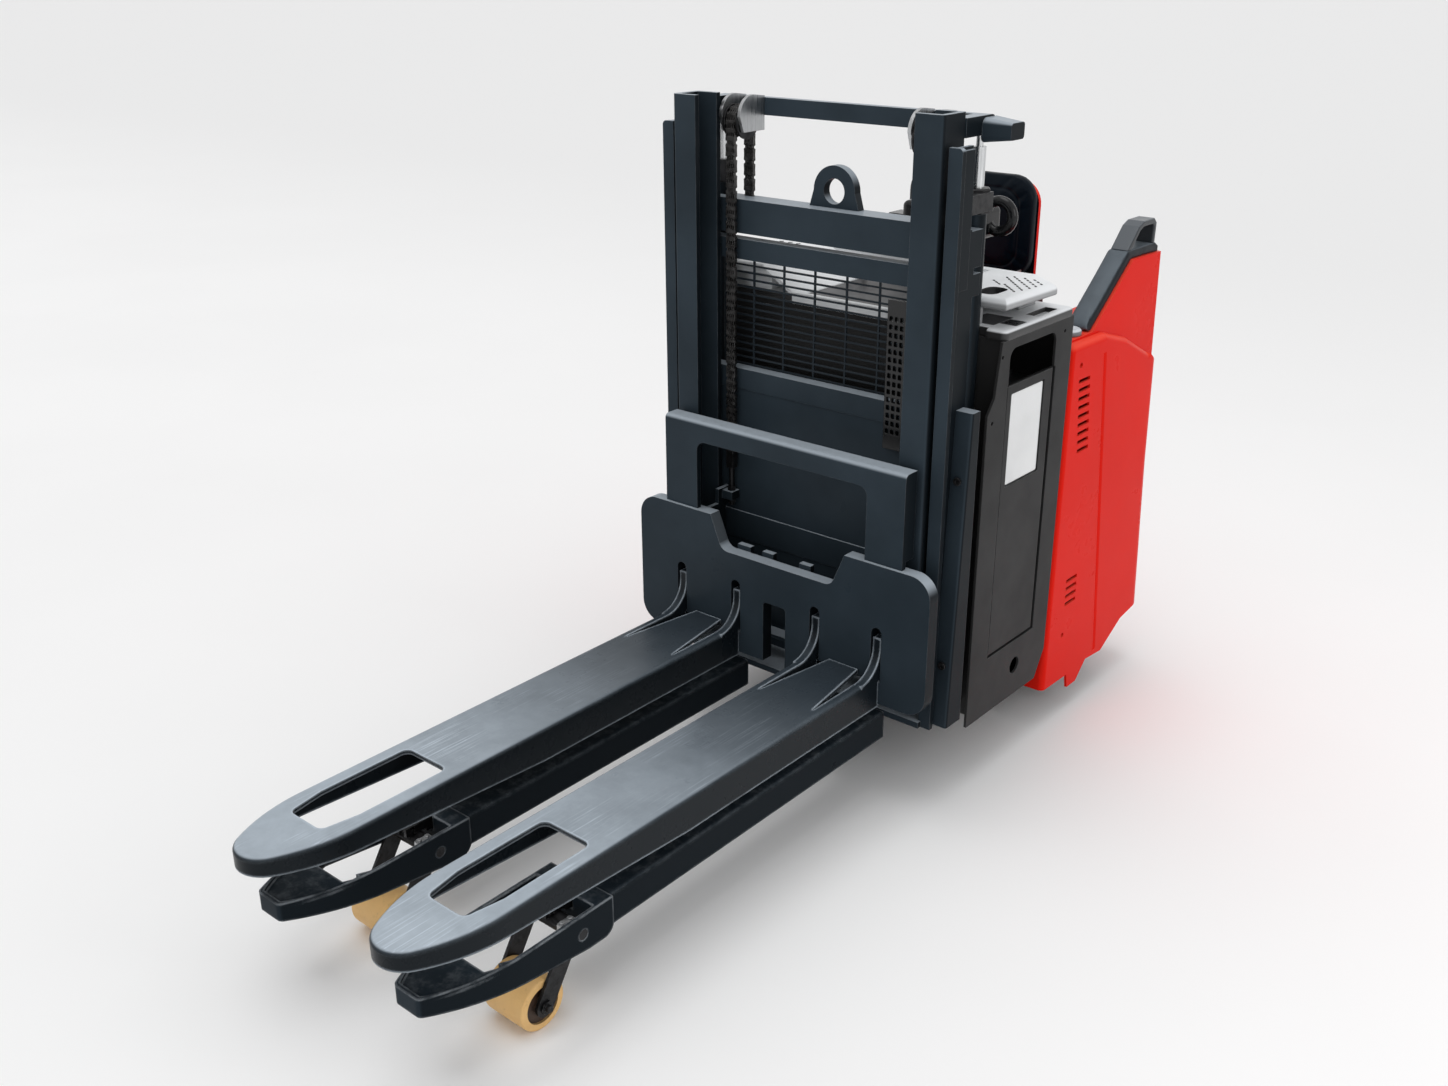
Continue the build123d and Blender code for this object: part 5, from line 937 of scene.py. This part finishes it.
def make_pips():
    """Raised rubber pips in slanting rows that keep papers from sliding on the tray's pods."""
    mesh = bmesh.new()
    for side in (-1, 1):
        for first, last in PIP_ROWS:
            run = Vector(last) - Vector(first)
            count = max(2, round(run.length / PIP_PITCH))
            way = run.normalized()
            cross = Vector((-way.y, way.x))
            for i in range(count + 1):
                middle = Vector(first) + run * (i / count)
                base = []
                for u, v in rounded_outline(*PIP_SIZE, PIP_CORNER, 4):
                    place = middle + cross * u + way * v
                    base.append(at(side * place.x, place.y, TRAY_TOP - PIP_SUNK))
                prism(mesh, base, (0, 0, PIP_HEIGHT))
    bevel(mesh, edges_above(mesh, TRAY_TOP + 0.0005), PIP_BEVEL)
    pips = make_piece("tray_pips", mesh, BLACK, "black_plastic")
    smooth(pips)
    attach(pips, "battery_hood")


CELL_X, CELL_TOP, CELL_SUNK = (-0.24, -0.08, 0.08, 0.24), 0.892, 0.0002
CAP_DX, CAP_Y, CAP_STEPS = (-0.04, 0.0, 0.04), (0.300, 0.415), 20
CAP_PROFILE = (
    (0.0, 0.0150), (0.007, 0.0150), (0.009, 0.0135), (0.009, 0.0060), (0.0115, 0.0055),
    (0.0115, 0.0010),
)
BAR_DX, BAR_Y = (-0.02, 0.02), 0.357
BAR_SIZE, BAR_CORNER, BAR_HEIGHT, BAR_BEVEL = (0.046, 0.014), 0.006, 0.006, 0.0012


def make_cells():
    """Filler caps and connector bars on the battery's lids."""
    caps = bmesh.new()
    bars = bmesh.new()
    foot = CELL_TOP - CELL_SUNK
    for x in CELL_X:
        for dx in CAP_DX:
            for y in CAP_Y:
                lathe(caps, at(x + dx, y, foot), UP, CAP_PROFILE, CAP_STEPS)
        for dx in BAR_DX:
            outline = rounded_outline(*BAR_SIZE, BAR_CORNER)
            shape = [at(x + dx + u, BAR_Y + v, foot) for u, v in outline]
            prism(bars, shape, (0, 0, BAR_HEIGHT))
    bevel(bars, edges_above(bars, CELL_TOP + 0.004), BAR_BEVEL)
    for name, mesh, material, slot in (
        ("cell_caps", caps, BLACK, "black_plastic"), ("cell_bars", bars, STEEL, "steel"),
    ):
        piece = make_piece(name, mesh, material, slot)
        smooth(piece)
        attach(piece, "front_section")


TIP_CENTRE = 0.190
KEEPER_RIGHT, KEEPER_Y, KEEPER_TOP = 0.2543, -0.891, 0.2052
KEEPER_X = (KEEPER_RIGHT, KEEPER_RIGHT - 2 * TIP_CENTRE)
KEEPER_SIZE, KEEPER_CORNER = (0.0130, 0.034), 0.002
KEEPER_HEIGHT, KEEPER_BEVEL = 0.012, 0.0010
SCREW_DY, SCREW_STEPS = (-0.0095, 0.0095), 6
SCREW_PROFILE = ((-0.001, 0.0052), (0.0032, 0.0052), (0.0040, 0.0046), (0.0040, 0.0010))


def make_keepers():
    """Plated keeper with two screws by the outer wall of the right arm tip, and its left twin."""
    mesh = bmesh.new()
    for x in KEEPER_X:
        outline = rounded_outline(*KEEPER_SIZE, KEEPER_CORNER)
        shape = [at(x + u, KEEPER_Y + v, KEEPER_TOP - KEEPER_HEIGHT) for u, v in outline]
        prism(mesh, shape, (0, 0, KEEPER_HEIGHT))
    bevel(mesh, edges_above(mesh, KEEPER_TOP - 0.001), KEEPER_BEVEL)
    for x in KEEPER_X:
        for dy in SCREW_DY:
            lathe(mesh, at(x, KEEPER_Y + dy, KEEPER_TOP), UP, SCREW_PROFILE, SCREW_STEPS)
    keepers = make_piece("tip_keepers", mesh, ZINC, "steel")
    smooth(keepers)
    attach(keepers, "front_section")


make_door_plate()
make_pips()
make_cells()
make_keepers()


# Studio
BACKDROP = (0.83, 0.83, 0.832, 1.0)
# Brightness of the sky at the horizon and above a height, for what lights the part
SKY_LOW, SKY_HIGH, SKY_RISE = 0.55, 0.80, 0.9
FLOOR_HALF = 150.0
PAPER_DARK, PAPER_LIGHT = (0.925, 0.925, 0.927), (0.945, 0.945, 0.947)
# Painted shade: the paper turns darker far behind the truck.
PAPER_FAR_SHADE, FAR_FROM, FAR_FULL = (0.85, 0.85, 0.852), 0.5, 7.0


def make_world():
    """Grey sky for the light, with a pale backdrop where it is seen or mirrored."""
    world = bpy.data.worlds.new("studio")
    scene.world = world
    world.use_nodes = True
    tree = world.node_tree
    background = tree.nodes["Background"]
    coords = tree.nodes.new("ShaderNodeTexCoord")
    split = tree.nodes.new("ShaderNodeSeparateXYZ")
    ramp = tree.nodes.new("ShaderNodeMapRange")
    tree.links.new(coords.outputs["Generated"], split.inputs[0])
    tree.links.new(split.outputs["Z"], ramp.inputs["Value"])
    ramp.inputs["From Min"].default_value = 0.0
    ramp.inputs["From Max"].default_value = SKY_RISE
    ramp.inputs["To Min"].default_value = SKY_LOW
    ramp.inputs["To Max"].default_value = SKY_HIGH
    path = tree.nodes.new("ShaderNodeLightPath")
    seen = path.outputs["Is Camera Ray"]
    for other in ("Is Glossy Ray", "Is Transmission Ray"):
        either = tree.nodes.new("ShaderNodeMath")
        either.operation = "MAXIMUM"
        tree.links.new(seen, either.inputs[0])
        tree.links.new(path.outputs[other], either.inputs[1])
        seen = either.outputs["Value"]
    backdrop = tree.nodes.new("ShaderNodeMix")
    backdrop.data_type = "RGBA"
    tree.links.new(seen, backdrop.inputs["Factor"])
    tree.links.new(ramp.outputs["Result"], backdrop.inputs[6])
    backdrop.inputs[7].default_value = BACKDROP
    tree.links.new(backdrop.outputs[2], background.inputs["Color"])
    background.inputs["Strength"].default_value = 1.0


def make_floor():
    mesh = bpy.data.meshes.new("floor")
    corners = [(u * FLOOR_HALF, v * FLOOR_HALF, 0) for u, v in ((-1, -1), (1, -1), (1, 1), (-1, 1))]
    mesh.from_pydata(corners, [], [(0, 1, 2, 3)])
    floor = link(bpy.data.objects.new("floor", mesh))
    s = Shader("floor_paper")
    body = s.mix(s.ramp(s.noise(0.6, 3.0), 0.3, 0.7), PAPER_DARK, PAPER_LIGHT)
    # Painted shade towards the far back of the floor.
    body = s.mix(s.ramp(s.position("Y"), FAR_FROM, FAR_FULL), body, PAPER_FAR_SHADE)
    floor.data.materials.append(s.finish(body, Roughness=0.8, Specular_IOR_Level=0.2))


def area_light(name, place, target, size, power):
    data = bpy.data.lights.new(name, "AREA")
    data.shape = "RECTANGLE"
    data.size, data.size_y = size
    data.energy = power
    lamp = link(bpy.data.objects.new(name, data))
    lamp.location = place
    lamp.rotation_mode = "QUATERNION"
    lamp.rotation_quaternion = (Vector(target) - Vector(place)).to_track_quat("-Z", "Y")


def sky_light(name, source, spread, strength):
    """Wide soft light from far away."""
    data = bpy.data.lights.new(name, "SUN")
    data.energy = strength
    data.angle = math.radians(spread)
    lamp = link(bpy.data.objects.new(name, data))
    lamp.rotation_mode = "QUATERNION"
    lamp.rotation_quaternion = (-Vector(source)).to_track_quat("-Z", "Y")


make_world()
make_floor()
sky_light("sky", source=(-0.06, -0.12, 1.0), spread=40.0, strength=0.74)
area_light(
    "side_box", place=(3.6, 0.4, 2.2), target=(0.2, 0.6, 0.7), size=(1.2, 2.0), power=18,
)

scene.view_settings.view_transform = "Standard"
